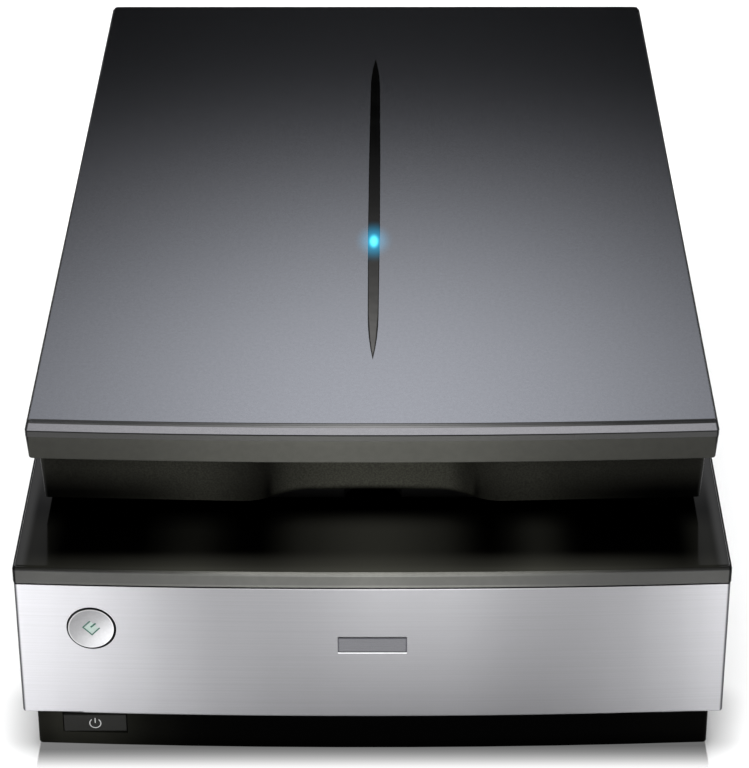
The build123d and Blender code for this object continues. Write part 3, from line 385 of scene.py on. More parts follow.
def band_colour(g, height):
    """Grey band with painted light: a painted highlight lightest in the middle and painted shade darker
    towards its ends, painted shade and highlight on its rolled top, a painted highlight line just under the
    roll and another along its lower edge.
    """
    # painted highlight and shade: the band lightest in the middle, darker towards its ends
    stops = (
        (-152, 0.034), (-142, 0.0425), (-108, 0.045), (-91, 0.0525), (-74, 0.064), (-56, 0.077), (-39, 0.084),
        (-22, 0.0915), (0, 0.109), (21, 0.093), (38, 0.083), (56, 0.0685), (73, 0.0515), (90, 0.0385),
        (107, 0.0306), (125, 0.0306), (142, 0.0355), (152, 0.034),
    )
    band = grey_face(g, rgb(1.0, 1.0, 0.9), BAND_HALF, *stops)
    # painted shade on the rolled top, darkest towards the ends
    roll = g.remap(height, -0.75 * MM, -0.65 * MM, 0.0, 1.0)
    turned = g.across(
        (-154, 0.2), (-130, 0.3), (-110, 0.45), (-85, 0.8), (-50, 1.0), (0, 1.0), (40, 1.0), (65, 0.9),
        (100, 0.55), (130, 0.35), (154, 0.2),
    )
    band = g.times(band, g.mix(roll, rgb(1.0), turned))
    # painted highlight line just under the rolled top
    crease_highlight = g.product(g.near(height, -0.9, 0.25, 0.15), g.across(
        (-154, 0.0), (-110, 0.05), (-95, 0.2), (-53, 0.55), (0, 0.9), (55, 0.75), (80, 0.3), (99, 0.1),
        (154, 0.0),
    ))
    rise = g.math("SUBTRACT", g.axis("Z"), DECK_LO.z)
    # painted highlight along the band's lower edge
    foot = g.product(g.near(rise, 0.8, 0.45, 0.15), g.across(
        (-154, 0.15), (-95, 0.45), (-50, 0.55), (0, 0.7), (55, 0.75), (90, 0.25), (120, 0.0), (154, 0.0),
    ))
    # painted highlight on the rolled top, away from its ends
    bright = g.product(roll, g.across(
        (-154, 0.0), (-85, 0.0), (-60, 0.75), (0, 0.6), (60, 0.75), (95, 0.8), (125, 0.1), (154, 0.0),
    ))
    bright = g.math("MAXIMUM", g.math("MAXIMUM", crease_highlight, foot), bright)
    return g.times(band, g.grey(g.math("ADD", bright, 1.0)))


def deck_glow(g):
    """Painted light: glow given off by the deck ahead of the lid in place of its soft light and its
    reflection of the shell, stronger towards the deck's front edge.
    """
    # painted glow, strongest in the middle, with faint streaks where the shell is mirrored
    glow = g.across(
        (-154, 0.0), (-150, 0.004), (-147, 0.005), (-142, 0.0035), (-134, 0.0002), (-100, 0.0), (-78, 0.0035),
        (-62, 0.0006), (-46, 0.0006), (-33, 0.0065), (-20, 0.0118), (0, 0.0172), (20, 0.0128), (33, 0.0072),
        (47, 0.0006), (60, 0.002), (72, 0.0068), (86, 0.001), (100, 0.0), (133, 0.0002), (142, 0.006),
        (147, 0.006), (154, 0.0),
    )
    ahead = g.math("SUBTRACT", SHELL_LO.y, g.axis("Y"))
    glow = g.product(glow, g.remap(ahead, -7.3 * MM, 11.7 * MM, 0.0, 1.0))
    # painted light near the front edge, with streaks of the shell's reflection
    lit = g.across(
        (-154, 0.0), (-147, 0.008), (-130, 0.012), (-116, 0.013), (-95, 0.0175), (-74, 0.0195), (-48, 0.016),
        (-20, 0.016), (0, 0.0158), (20, 0.0155), (48, 0.0165), (68, 0.02), (101, 0.018), (123, 0.0118),
        (140, 0.0078), (147, 0.0075), (154, 0.0),
    )
    inset = g.math("SUBTRACT", g.axis("Y"), DECK_LO.y)
    front = g.remap(inset, 2.45 * MM, 17.95 * MM, 1.0, 0.0)
    front = g.math("ADD", front, g.remap(inset, 0.95 * MM, 6.45 * MM, 0.5, 0.0))
    return g.math("ADD", glow, g.product(lit, 1.25, front))


def make_upper_case():
    """Satin grey band below, polished black deck above the shoulder; the deck gives off a painted glow and is
    a dark mirror in painted shade ahead of the lid, and painted shade makes the band's corners black.
    """
    material, principled, g = surface("band_grey", Specular_IOR_Level=0.5)
    height = g.math("SUBTRACT", g.axis("Z"), SHOULDER_Z)
    deck = g.remap(height, 0.05 * MM, 0.15 * MM, 0.0, 1.0)
    below = g.inverse(deck)
    g.put(principled.inputs["Base Color"], g.mix(deck, band_colour(g, height), rgb(0.0004)))
    # painted glow of the deck
    principled.inputs["Emission Color"].default_value = rgb(1.0, 1.0, 0.82)
    g.put(principled.inputs["Emission Strength"], g.math("MAXIMUM", g.product(deck_glow(g), deck), 0.0))
    # painted shade: the deck ahead of the lid made a dark mirror
    inward = g.math("SUBTRACT", g.axis("Y"), SHELL_LO.y)
    shaded = g.product(g.remap(inward, 4.3 * MM, 57.3 * MM, 1.0, 0.0), deck, g.inverse(g.beyond(149.0, 2.0)))
    # painted shade: the band's corners made a black mirror
    corner = g.product(g.beyond(BAND_HALF), below)
    g.put(principled.inputs["Metallic"], g.math("MAXIMUM", shaded, corner))
    polish = g.remap(g.noise(22.0, 5.0, 0.65), 0.4, 0.8, 0.08, 0.11)
    g.put(principled.inputs["Roughness"], g.lerp(deck, 0.42, polish))
    g.put(principled.inputs["Normal"], g.bump(g.product(g.noise(1500.0, 3.0), below), 0.08, 0.03 * MM))
    return material


def make_silver():
    """Horizontally brushed aluminium, with a painted sheen lighter towards its ends and darker low in the
    middle, a painted highlight along its top edge, and painted shade making its folded ends dark and a dark
    ring round the start button.
    """
    material, principled, g = surface("silver_face", Metallic=1.0, Anisotropic=0.5, Anisotropic_Rotation=0.25)
    fine = g.noise(1.0, 3.0, 0.6, g.stretched(9.0, 9.0, 3600.0))
    broad = g.noise(1.0, 3.0, 0.6, g.stretched(5.0, 5.0, 1500.0))
    streak = g.lerp(0.3, fine, broad)
    # painted sheen, lighter towards the ends; the lower profile is darker in the middle, painted shade
    # towards the bottom
    upper = g.across(
        (-154, 0.67), (-150, 0.635), (-134, 0.58), (-117, 0.51), (-95, 0.385), (-74, 0.297), (-52, 0.28),
        (-31, 0.3), (-18, 0.33), (0, 0.372), (21, 0.375), (38, 0.36), (56, 0.302), (77, 0.262),
        (99, 0.262), (116, 0.3), (133, 0.38), (142, 0.437), (148, 0.484), (154, 0.515),
    )
    lower = g.across(
        (-154, 0.58), (-148, 0.57), (-137, 0.53), (-119, 0.465), (-97, 0.385), (-75, 0.305), (-53, 0.257),
        (-31, 0.232), (-18, 0.229), (0, 0.223), (21, 0.221), (39, 0.215), (57, 0.199), (79, 0.201),
        (101, 0.237), (118, 0.276), (136, 0.333), (145, 0.375), (154, 0.395),
    )
    level = g.between(g.axis("Z"), PANEL_LO.z / MM, PANEL_HI.z / MM)
    sheen = g.mix(level, lower, upper)
    shade = g.mix(g.remap(streak, 0.38, 0.62, 0.0, 1.0), rgb(0.955, 0.952, 0.985), rgb(1.035, 1.03, 1.075))
    # painted highlight along the panel's top edge
    lip_highlight = g.remap(g.axis("Z"), PANEL_HI.z - 0.5 * MM, PANEL_HI.z - 0.35 * MM, 0.0, 1.0)
    gain = g.across((-110, 0.0), (-60, 0.3), (0, 0.95), (60, 0.5), (120, 0.0), (150, 0.0))
    lip_highlight = g.math("ADD", g.product(lip_highlight, gain), 1.0)
    sheen = g.times(g.times(sheen, shade), g.grey(lip_highlight))
    right, up, radius = from_start(g)
    slope = g.math("SUBTRACT", g.product(right, 0.009), g.product(up, 0.012))
    # painted shade: a dark ring for the gap round the start button
    ring = g.remap(g.math("SUBTRACT", radius, slope), 10.72 * MM, 10.86 * MM, 1.0, 0.0)
    dark = g.mix(ring, rgb(0.06, 0.06, 0.065), rgb(0.002))
    # painted shade: the folded ends and the ring dark
    folded = g.math("MAXIMUM", g.beyond(BAND_HALF, 0.5), ring)
    g.put(principled.inputs["Base Color"], g.mix(folded, sheen, dark))
    g.put(principled.inputs["Roughness"], g.remap(streak, 0.35, 0.65, 0.3, 0.38))
    g.put(principled.inputs["Normal"], g.bump(streak, 0.05, 0.02 * MM))
    tangent = g.node("Tangent", {"direction_type": "RADIAL", "axis": "Z"})
    g.put(principled.inputs["Tangent"], tangent.outputs[0])
    return material


def make_badge():
    """Plain raised plate: darker sunken field, a thin dark outline of painted shade and a painted highlight
    along its lower edge.
    """
    material, principled, g = surface("badge", Metallic=1.0)
    up = g.math("SUBTRACT", g.axis("Z"), (BADGE_LO.z + BADGE_HI.z) / 2)
    field = g.product(g.near(up, 0.0, 3.45, 0.15), g.inverse(g.beyond(14.4, 0.1)))
    lines = g.noise(1.0, 3.0, 0.6, g.stretched(9.0, 9.0, 2400.0))
    # painted highlight along the lower edge; painted shade in the thin dark outline elsewhere
    foot = g.remap(up, -3.6 * MM, -3.5 * MM, 1.0, 0.0)
    rim = g.mix(foot, rgb(0.085, 0.085, 0.095), rgb(0.95, 0.95, 0.97))
    brushed = g.mix(lines, rgb(0.135, 0.135, 0.145), rgb(0.17, 0.17, 0.18))
    g.put(principled.inputs["Base Color"], g.mix(field, rim, brushed))
    g.put(principled.inputs["Roughness"], g.remap(lines, 0.3, 0.7, 0.22, 0.32))
    return material


def make_shell():
    """Spark-eroded black plastic with a fine sparkle; painted light and shade make its front face lighter in
    the middle and darker towards its ends, its lower edge and below the arch of the finger recess.
    """
    material, principled, g = surface("lid_shell", Specular_IOR_Level=0.03)
    grain = g.noise(1150.0, 3.0, 0.7)
    # painted light and shade on the front face: the upper and lower grey, lighter in the middle, dark across
    # the recess walls
    upper = g.across(
        (-145, 0.0105), (-125, 0.014), (-98, 0.024), (-76, 0.029), (-62, 0.021), (-50, 0.012), (-44, 0.014),
        (-38, 0.036), (-20, 0.056), (0, 0.064), (20, 0.059), (33, 0.05), (40, 0.02), (48, 0.019), (58, 0.022),
        (68, 0.024), (80, 0.019), (98, 0.0148), (123, 0.011), (145, 0.009),
    )
    lower = g.across(
        (-145, 0.0005), (-113, 0.004), (-95, 0.01), (-74, 0.024), (-60, 0.015), (-48, 0.0065), (-44, 0.0),
        (44, 0.0), (48, 0.01), (68, 0.019), (84, 0.01), (98, 0.005), (120, 0.0008), (145, 0.0006),
    )
    height = g.math("SUBTRACT", g.axis("Z"), SHELL_LO.z)
    # painted shade below the arch of the finger recess
    arch = g.across((-46, 0.0), (-22, 0.2), (0, 0.8), (22, 0.2), (46, 0.0))
    recess = g.remap(g.math("SUBTRACT", height, g.product(arch, MM)), -1.0 * MM, 2.5 * MM, 0.0, 1.0)
    outside = g.beyond(44.5, 1.5)
    shade = g.mix(g.lerp(outside, recess, g.between(height, 3.5, 15.5)), lower, upper)
    inward = g.math("SUBTRACT", g.axis("Y"), SHELL_LO.y)
    shade = g.mix(g.remap(inward, 11.3 * MM, 14.3 * MM, 0.0, 1.0), shade, rgb(0.009))
    g.put(principled.inputs["Base Color"], g.times(vary(g, rgb(1.0, 1.0, 0.8), 0.24, 1300.0), shade))
    g.put(principled.inputs["Roughness"], g.remap(grain, 0.3, 0.7, 0.34, 0.5))
    g.put(principled.inputs["Normal"], g.bump(grain, 0.4, 0.1 * MM))
    return material


def make_case():
    """Polished black case, with a faint painted sheen towards the left end of the plinth, and painted shade
    darker towards its bottom.
    """
    material, principled, g = surface("case_black", Specular_IOR_Level=0.01)
    # painted sheen towards the left end of the plinth
    shade = g.across(
        (-150, 0.009), (-143, 0.013), (-137, 0.018), (-120, 0.014), (-103, 0.005), (-85, 0.0012),
        (-60, 0.0001), (100, 0.0001), (150, 0.0012),
    )
    # painted shade: darker towards the bottom
    height = g.math("SUBTRACT", g.axis("Z"), CASE_LO.z)
    shade = g.times(shade, g.grey(g.remap(height, 0.5 * MM, 11.5 * MM, 0.7, 1.0)))
    g.put(principled.inputs["Base Color"], g.times(vary(g, rgb(1.0, 1.0, 0.8), 0.1, 30.0), shade))
    g.put(principled.inputs["Roughness"], g.remap(g.noise(24.0, 5.0, 0.65), 0.35, 0.8, 0.1, 0.17))
    g.put(principled.inputs["Normal"], g.bump(g.noise(120.0, 1.0), 0.02, 0.02 * MM))
    return material


def make_slit():
    """Smoked strip, paler towards the front, dark along its edges, with a painted glow round the status lamp.
    """
    material, principled, g = surface("smoked", Specular_IOR_Level=0.03)
    along = g.axis("Y")
    shade = g.profile(
        along, (-165, 0.072), (-110, 0.036), (-60, 0.016), (-10, 0.006), (60, 0.0005), (180, 0.0005)
    )
    half = g.profile(along, (-161, 0.0), (-151, 0.28), (-143, 0.49), (-118, 0.83), (7, 1.0), (180, 1.0))
    inset = g.math("SUBTRACT", g.product(half, 2.9 * MM), g.math("ABSOLUTE", g.axis("X")))
    shade = g.times(shade, g.mix(g.remap(inset, 0.25 * MM, 0.5 * MM, 1.0, 0.0), rgb(1.0), rgb(0.15)))
    g.put(principled.inputs["Base Color"], g.times(vary(g, rgb(1.0, 0.98, 0.95), 0.08, 200.0), shade))
    g.put(principled.inputs["Roughness"], g.remap(g.noise(60.0, 3.0), 0.3, 0.7, 0.06, 0.1))
    led_glow(g, principled, 1.0, 12.0)
    return material


def make_led():
    """Glowing blue lens of the status lamp."""
    material, principled, g = surface("led_blue", Roughness=0.25)
    speck = g.noise(900.0, 2.0)
    g.put(principled.inputs["Base Color"], g.mix(speck, rgb(0.05, 0.45, 0.9), rgb(0.1, 0.55, 1.0)))
    principled.inputs["Emission Color"].default_value = rgb(0.1, 0.8, 1.0)
    g.put(principled.inputs["Emission Strength"], g.remap(speck, 0.2, 0.8, 0.95, 1.1))
    return material


def make_button():
    """Satin dished cap, with painted light making it paler towards the lower right, a paler band near its
    edge, and a black rim of painted shade for the gap round it.
    """
    material, principled, g = surface("button_silver", Metallic=1.0)
    right, up, radius = from_start(g)
    # painted light: the dish paler towards the lower right
    slope = g.math("SUBTRACT", g.product(right, 0.62), g.product(up, 0.78))
    shade = g.profile(slope, (-10, 0.25), (-6, 0.27), (0, 0.38), (5, 0.58), (10, 0.72))
    painted_sheen = g.times(vary(g, rgb(1.0, 1.0, 1.02), 0.03, 900.0), shade)
    painted_sheen = g.mix(g.remap(radius, 9.3 * MM, 9.5 * MM, 0.0, 0.35), painted_sheen, rgb(0.8))
    # painted shade: a black rim for the gap round the cap
    rim = g.remap(g.math("ADD", radius, g.product(slope, 0.009)), 9.84 * MM, 9.95 * MM, 0.0, 1.0)
    g.put(principled.inputs["Base Color"], g.mix(rim, painted_sheen, rgb(0.002)))
    g.put(principled.inputs["Roughness"], g.remap(g.noise(500.0, 2.0), 0.3, 0.7, 0.32, 0.38))
    return material


def make_board():
    """Green solder mask with fine tracks."""
    material, principled, g = surface("circuit_board", Roughness=0.35)
    lanes = g.node("TexBrick", Scale=260.0, Mortar_Size=0.02)
    g.put(lanes.inputs["Vector"], g.position())
    lanes.inputs["Color1"].default_value = rgb(0.012, 0.085, 0.035)
    lanes.inputs["Color2"].default_value = rgb(0.016, 0.11, 0.045)
    lanes.inputs["Mortar"].default_value = rgb(0.04, 0.2, 0.09)
    g.put(principled.inputs["Base Color"], lanes.outputs["Color"])
    g.put(principled.inputs["Normal"], g.bump(g.noise(700.0, 3.0), 0.15, 0.05 * MM))
    return material


def make_glass():
    """Faintly green float glass with slight wipe marks."""
    material, principled, g = surface("glass", Transmission_Weight=1.0, IOR=1.5)
    g.put(principled.inputs["Base Color"], vary(g, rgb(0.93, 0.965, 0.955), 0.01, 20.0))
    g.put(principled.inputs["Roughness"], g.remap(g.noise(18.0, 4.0), 0.4, 0.8, 0.0, 0.03))
    return material


def make_mirror():
    """Front-silvered mirror strip."""
    material, principled, g = surface("mirror", Metallic=1.0)
    g.put(principled.inputs["Base Color"], vary(g, rgb(0.92, 0.93, 0.94), 0.01, 30.0))
    g.put(principled.inputs["Roughness"], g.remap(g.noise(40.0, 3.0), 0.3, 0.8, 0.01, 0.04))
    return material


def make_opal():
    """Milky diffuser that scatters the lamp's light."""
    material, principled, g = surface("opal", Subsurface_Weight=0.3)
    principled.inputs["Subsurface Radius"].default_value = (0.003, 0.003, 0.003)
    g.put(principled.inputs["Base Color"], vary(g, rgb(0.82, 0.83, 0.82), 0.02, 50.0))
    g.put(principled.inputs["Roughness"], g.remap(g.noise(80.0, 3.0), 0.3, 0.7, 0.25, 0.35))
    return material


MATERIALS = {
    "case_black": make_case(),
    "band_grey": make_upper_case(),
    "glass": make_glass(),
    "white_paint": moulded("white_paint", rgb(0.8), 0.6, mottle=0.02),
    "silver_face": make_silver(),
    "badge": make_badge(),
    "rubber": moulded("rubber", rgb(0.02), 0.75, 700.0, 0.3, level=0.25),
    "screw_steel": metal("screw_steel", (0.45, 0.44, 0.42), 0.35, (300.0, 300.0, 300.0)),
    "spring_steel": metal("spring_steel", (0.5, 0.5, 0.5), 0.28, (200.0, 200.0, 200.0)),
    "circuit_board": make_board(),
    "rod_steel": metal("rod_steel", (0.62, 0.62, 0.63), 0.12, (500.0, 4.0, 500.0)),
    "sheet_steel": metal("sheet_steel", (0.5, 0.5, 0.49), 0.36, (40.0, 400.0, 40.0)),
    "belt_rubber": moulded("belt_rubber", rgb(0.018), 0.6, 900.0, 0.25, level=0.3),
    "motor_steel": moulded("motor_steel", rgb(0.03), 0.4, 1200.0),
    "inner_black": moulded("inner_black", rgb(0.02), 0.55, 900.0, 0.2),
    "natural_plastic": moulded("natural_plastic", rgb(0.62, 0.6, 0.54), 0.4, 800.0),
    "button_silver": make_button(),
    "power_grey": glossy("power_grey", rgb(0.02, 0.02, 0.0185), 0.2, 0.08),
    "socket_black": moulded("socket_black", rgb(0.012), 0.45, 1300.0),
    "mirror": make_mirror(),
    "lamp_white": moulded("lamp_white", rgb(0.8, 0.81, 0.8), 0.3, 600.0),
    "lens_black": moulded("lens_black", rgb(0.015), 0.3, 1500.0),
    "post_plastic": moulded("post_plastic", rgb(0.022), 0.5, 1000.0, 0.2),
    "lid_top": make_lid_top(),
    "lid_face": make_lid_face(),
    "lid_shell": make_shell(),
    "smoked": make_slit(),
    "led_blue": make_led(),
    "opal": make_opal(),
    "mat_white": moulded("mat_white", rgb(0.78, 0.78, 0.76), 0.7, 500.0, 0.25, 0.1 * MM, mottle=0.012),
}

SLOT_OF = {row["node"]: row["material_slot"] for row in frame["record"]["subparts"]}


# ------------------------------------------------------------------ smooth shading of the CAD nodes


def smoothing_group():
    """Geometry nodes that weld split corners, then shade smooth except over sharp edges."""
    group = bpy.data.node_groups.new("smooth_by_angle", "GeometryNodeTree")
    group.interface.new_socket("Geometry", in_out="INPUT", socket_type="NodeSocketGeometry")
    group.interface.new_socket("Geometry", in_out="OUTPUT", socket_type="NodeSocketGeometry")
    start = group.nodes.new("NodeGroupInput")
    weld = group.nodes.new("GeometryNodeMergeByDistance")
    weld.inputs["Distance"].default_value = 0.002 * MM
    soft = group.nodes.new("GeometryNodeSetShadeSmooth")
    soft.domain = "FACE"
    sharp = group.nodes.new("GeometryNodeSetShadeSmooth")
    sharp.domain = "EDGE"
    sharp.inputs["Shade Smooth"].default_value = False
    angle = group.nodes.new("GeometryNodeInputMeshEdgeAngle")
    compare = group.nodes.new("FunctionNodeCompare")
    compare.operation = "GREATER_THAN"
    compare.inputs["B"].default_value = math.radians(32)
    end = group.nodes.new("NodeGroupOutput")
    link = group.links.new
    link(start.outputs[0], weld.inputs["Geometry"])
    link(weld.outputs["Geometry"], soft.inputs["Geometry"])
    link(soft.outputs["Geometry"], sharp.inputs["Geometry"])
    link(angle.outputs["Unsigned Angle"], compare.inputs["A"])
    link(compare.outputs["Result"], sharp.inputs["Selection"])
    link(sharp.outputs["Geometry"], end.inputs[0])
    return group


SMOOTHING = smoothing_group()

for name, node in NODES.items():
    material = MATERIALS[SLOT_OF[name]]
    if node.material_slots:
        for material_slot in node.material_slots:
            material_slot.material = material
    else:
        node.data.materials.append(material)
    node.modifiers.new("smooth", "NODES").node_group = SMOOTHING
    weighted = node.modifiers.new("weighted", "WEIGHTED_NORMAL")
    weighted.mode = "FACE_AREA"
    weighted.keep_sharp = True


# ------------------------------------------------------------------ added pieces


def piece(name, body, vertices, faces, material, slot):
    """A thin mesh that rides on a body and takes the material it is given; its slot is not used."""
    mesh = bpy.data.meshes.new(name)
    mesh.from_pydata(vertices, [], faces)
    mesh.materials.append(material)
    made = bpy.data.objects.new(name, mesh)
    bpy.context.scene.collection.objects.link(made)
    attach(made, body)
    return made


def stroke(points, width):
    """A flat band of that width along points in a plane, as pairs of points on its two edges."""
    pairs = []
    for i, point in enumerate(points):
        before = points[i - 1] if i else point
        after = points[i + 1] if i + 1 < len(points) else point
        entry = (Vector(point) - Vector(before)).normalized()
        leave = (Vector(after) - Vector(point)).normalized()
        entry = entry if entry.length else leave
        leave = leave if leave.length else entry
        along = (entry + leave).normalized()
        normal = Vector((-along.y, along.x))
        reach = width / 2 / max(0.5, along.dot(entry))
        pairs.append((Vector(point) + normal * reach, Vector(point) - normal * reach))
    return pairs


def banded(strokes, lift):
    """Vertices and faces of several strokes, each point placed in space by lift(x, z)."""
    vertices, faces = [], []
    for pairs in strokes:
        first = len(vertices)
        for left, right in pairs:
            vertices += [lift(left.x, left.y), lift(right.x, right.y)]
        for a in range(first, len(vertices) - 2, 2):
            faces.append((a, a + 1, a + 3, a + 2))
    return vertices, faces


def refined(points, step):
    """The same path with extra points, so that it can follow a curved surface."""
    path = [Vector(points[0])]
    for end in points[1:]:
        start, end = path[-1].copy(), Vector(end)
        parts = max(1, round((end - start).length / step))
        path += [start.lerp(end, (i + 1) / parts) for i in range(parts)]
    return [tuple(p) for p in path]


def ink(name, colour, rough):
    """Printed or moulded-in colour of a symbol."""
    material, principled, g = surface(name)
    g.put(principled.inputs["Base Color"], vary(g, colour, 0.06, 800.0))
    g.put(principled.inputs["Roughness"], g.remap(g.noise(400.0, 2.0), 0.3, 0.7, rough, rough + 0.08))
    return material


def start_symbol():
    """A diamond, open towards the upper right, with a bar that leaves through the opening."""
    bend, deep = 50.0 * MM, 1.1 * MM

    def on_dish(x, z):
        drop = math.sqrt(bend * bend - x * x - z * z)
        return (START_AT.x + x, START_AT.y - bend + deep + drop - 0.03 * MM, START_AT.z + z)

    def at(x, z):
        return ((x + 0.1) * MM, z * MM)

    outline = refined([at(-0.5, 3.35), at(-3.65, 0.2), at(0.1, -3.7), at(3.6, -0.1)], 0.4 * MM)
    bar = refined([at(-0.35, 0.1), at(1.95, 2.2)], 0.4 * MM)
    strokes = [stroke(outline, 0.62 * MM), stroke(bar, 0.8 * MM)]
    green = ink("start_green", rgb(0.022, 0.1, 0.07), 0.45)
    piece("start_mark", "start_key", *banded(strokes, on_dish), green, "button_silver")

    rows = 9
    points = []
    for row in range(rows):
        t = (row + 0.5) / rows
        points += refined([at(-3.3 + 3.4 * t, 0.2 - 3.5 * t), at(-0.2 + 3.4 * t, 3.1 - 3.5 * t)], 0.5 * MM)
    per_row = len(points) // rows
    grid = [on_dish(x, z) for x, z in points]
    grid = [(x, y + 0.015 * MM, z) for x, y, z in grid]
    corners = [row * per_row + i for row in range(rows - 1) for i in range(per_row - 1)]
    faces = [(a, a + 1, a + per_row + 1, a + per_row) for a in corners]
    mint = ink("start_mint", rgb(0.37, 0.46, 0.42), 0.45)
    piece("start_field", "start_key", grid, faces, mint, "button_silver")


def power_symbol():
    """The standard power symbol: a ring open at the top, and a bar."""

    def on_key(x, z):
        return (POWER_AT.x + x, POWER_AT.y - 0.02 * MM, POWER_AT.z + z)

    turn = [math.radians(90 + 38 + k * (284 / 32)) for k in range(33)]
    ring = [(2.45 * MM * math.cos(a), 2.45 * MM * math.sin(a)) for a in turn]
    bar = [(0.0, 0.1 * MM), (0.0, 2.75 * MM)]
    white = ink("power_white", rgb(0.5), 0.4)
    strokes = [stroke(ring, 0.42 * MM), stroke(bar, 0.42 * MM)]
    piece("power_mark", "power_key", *banded(strokes, on_key), white, "power_grey")


def glass_marks():
    """Sheet-size ticks along two sides of the glass and a corner arrow, printed on the deck."""
    top = DECK_HI.z + 0.02 * MM
    right = GLASS_HI.x - 4.5 * MM
    back = GLASS_HI.y - 3.5 * MM

    def on_deck(x, y):
        return (x, y, top)

    strokes = []
    for width in (105, 148, 182, 210):
        x = right - width * MM
        strokes.append(stroke([(x, back + 1.2 * MM), (x, back + 4.4 * MM)], 0.4 * MM))
    for length in (148, 210, 254, 279, 297):
        y = back - length * MM
        strokes.append(stroke([(right + 1.2 * MM, y), (right + 4.4 * MM, y)], 0.4 * MM))
    x, y = right + 1.6 * MM, back + 1.6 * MM
    arrow = [(x + 5 * MM, y + 5 * MM), (x, y)]
    head = [(x + 2.6 * MM, y), (x, y), (x, y + 2.6 * MM)]
    strokes += [stroke(arrow, 0.5 * MM), stroke(head, 0.5 * MM)]
    grey = ink("deck_print", rgb(0.42), 0.5)
    piece("size_marks", "base", *banded(strokes, on_deck), grey, "white_paint")


start_symbol()
power_symbol()
glass_marks()


# ------------------------------------------------------------------ floor, light, camera


def make_stage():
    """Pale floor, with a painted soft shadow beside and ahead of the plinth, and just ahead of it a soft dark
    fade of painted reflection and shadow, given off as glow.
    """
    mesh = bpy.data.meshes.new("floor")
    size = 6.0
    mesh.from_pydata(
        [(-size, -size, 0), (size, -size, 0), (size, size, 0), (-size, size, 0)], [], [(0, 1, 2, 3)]
    )
    floor = bpy.data.objects.new("floor", mesh)
    bpy.context.scene.collection.objects.link(floor)
    material, principled, g = surface("floor", Specular_IOR_Level=0.2)
    side = g.math("ABSOLUTE", g.axis("X"))
    ahead = g.product(g.axis("Y"), -1.0)
    out_x = g.math("MAXIMUM", g.math("SUBTRACT", side, 148.3 * MM), 0.0)
    out_y = g.math("MAXIMUM", g.math("SUBTRACT", ahead, 236.0 * MM), g.math("SUBTRACT", 210.0 * MM, ahead))
    out_y = g.math("MAXIMUM", out_y, 0.0)
    away = g.length(g.node("CombineXYZ", X=out_x, Y=out_y).outputs[0])
    # painted shadow beside and ahead of the plinth
    shadow = g.remap(away, 0.0, 25.0 * MM, 0.6, 1.0)
    # strip ahead of the plinth where the floor's colour gives way to a painted glow
    strip = g.product(
        g.remap(ahead, 259.5 * MM, 270.0 * MM, 1.0, 0.0),
        g.remap(ahead, 215.0 * MM, 225.0 * MM, 0.0, 1.0),
        g.remap(side, 147.9 * MM, 148.6 * MM, 1.0, 0.0),
    )
    base = g.grey(g.product(shadow, g.inverse(strip)))
    g.put(principled.inputs["Base Color"], g.times(vary(g, rgb(0.9), 0.004, 3.0), base))
    g.put(principled.inputs["Roughness"], g.remap(g.noise(4.0, 2.0), 0.3, 0.7, 0.05, 0.07))
    # painted reflection and shadow ahead of the plinth, given off as glow, darkest at the plinth
    fade = g.profile(
        ahead, (240.4, 0.13), (242.3, 0.168), (244.1, 0.209), (245.9, 0.266), (247.7, 0.347), (249.5, 0.45),
        (251.3, 0.56), (253.1, 0.7), (254.9, 0.84), (256.7, 0.97), (258.5, 1.0), (260.0, 1.0),
    )
    # painted glow: its least level right at the plinth, a little lighter towards the left
    foot = g.across((-148, 0.2), (-120, 0.185), (-80, 0.15), (148, 0.14))
    principled.inputs["Emission Color"].default_value = rgb(1.0)
    g.put(principled.inputs["Emission Strength"], g.product(g.math("MAXIMUM", fade, foot), strip))
    mesh.materials.append(material)


def area_light(name, location, target, width, height, energy):
    """A soft box that lights the machine but isn't mirrored in it."""
    data = bpy.data.lights.new(name, "AREA")
    data.shape = "RECTANGLE"
    data.size, data.size_y = width, height
    data.energy = energy
    light = bpy.data.objects.new(name, data)
    light.location = location
    light.rotation_mode = "QUATERNION"
    light.rotation_quaternion = (Vector(target) - Vector(location)).to_track_quat("-Z", "Y")
    light.visible_glossy = False
    bpy.context.scene.collection.objects.link(light)
    return light


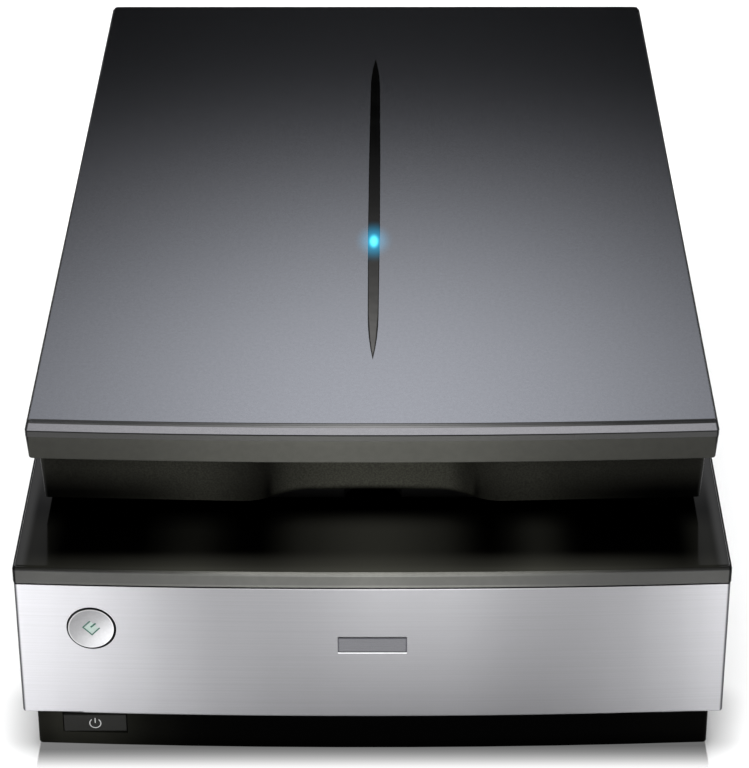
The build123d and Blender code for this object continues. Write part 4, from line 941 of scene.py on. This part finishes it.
def make_world():
    """Studio surround: a soft bright band behind the machine, softer light at the sides, dark low down."""
    world = bpy.data.worlds.new("studio")
    bpy.context.scene.world = world
    world.use_nodes = True
    g = Graph(world.node_tree)
    background = world.node_tree.nodes["Background"]
    direction = g.node("TexCoord").outputs["Generated"]
    x, y, z = g.node("SeparateXYZ", Vector=direction).outputs
    side = g.math("ABSOLUTE", g.math("ADD", x, 0.004))

    def by_height(low, high, to_low, to_high):
        """A level that changes between two elevations, in degrees."""
        return g.remap(z, math.sin(math.radians(low)), math.sin(math.radians(high)), to_low, to_high)

    rise = by_height(23.5, 30.2, 0.014, 1.09)
    fall = by_height(38.0, 58.0, 1.0, 0.22)
    centre = g.remap(side, 0.0, 0.16, 1.0, by_height(26.5, 30.0, 0.3, 0.42))
    wings = g.remap(side, 0.3, 0.7, 0.0, 0.5)
    behind = g.math("ADD", g.product(rise, fall, centre), wings)
    ahead = g.product(fall, g.remap(side, 0.05, 0.35, 0.25, 0.8))
    background.inputs["Color"].default_value = rgb(0.985, 0.99, 1.0)
    g.put(background.inputs["Strength"], g.lerp(g.remap(y, -0.15, 0.15, 1.0, 0.0), behind, ahead))


def make_camera():
    """A long lens ahead of the machine, looking down on it."""
    data = bpy.data.cameras.new("camera")
    data.sensor_width = 36.0
    data.lens = 2956.4 / 768 * 36.0
    data.shift_x = -0.0233
    data.clip_start, data.clip_end = 0.05, 30.0
    camera = bpy.data.objects.new("camera", data)
    camera.location = (7.7 * MM, -1306.5 * MM, 790.8 * MM)
    camera.rotation_euler = (math.radians(90 - 29.605), 0.0, math.radians(-0.052))
    bpy.context.scene.collection.objects.link(camera)
    bpy.context.scene.camera = camera


make_stage()
make_world()
area_light("top", (0.0, 0.1, 2.4), (0, 0, 0), 3.2, 2.6, 110.0)
area_light("front", (-0.5, -1.9, 1.2), (0, -0.2, 0.08), 1.6, 1.0, 18.0)
make_camera()

scene = bpy.context.scene
scene.view_settings.view_transform = "Standard"
scene.view_settings.look = "None"
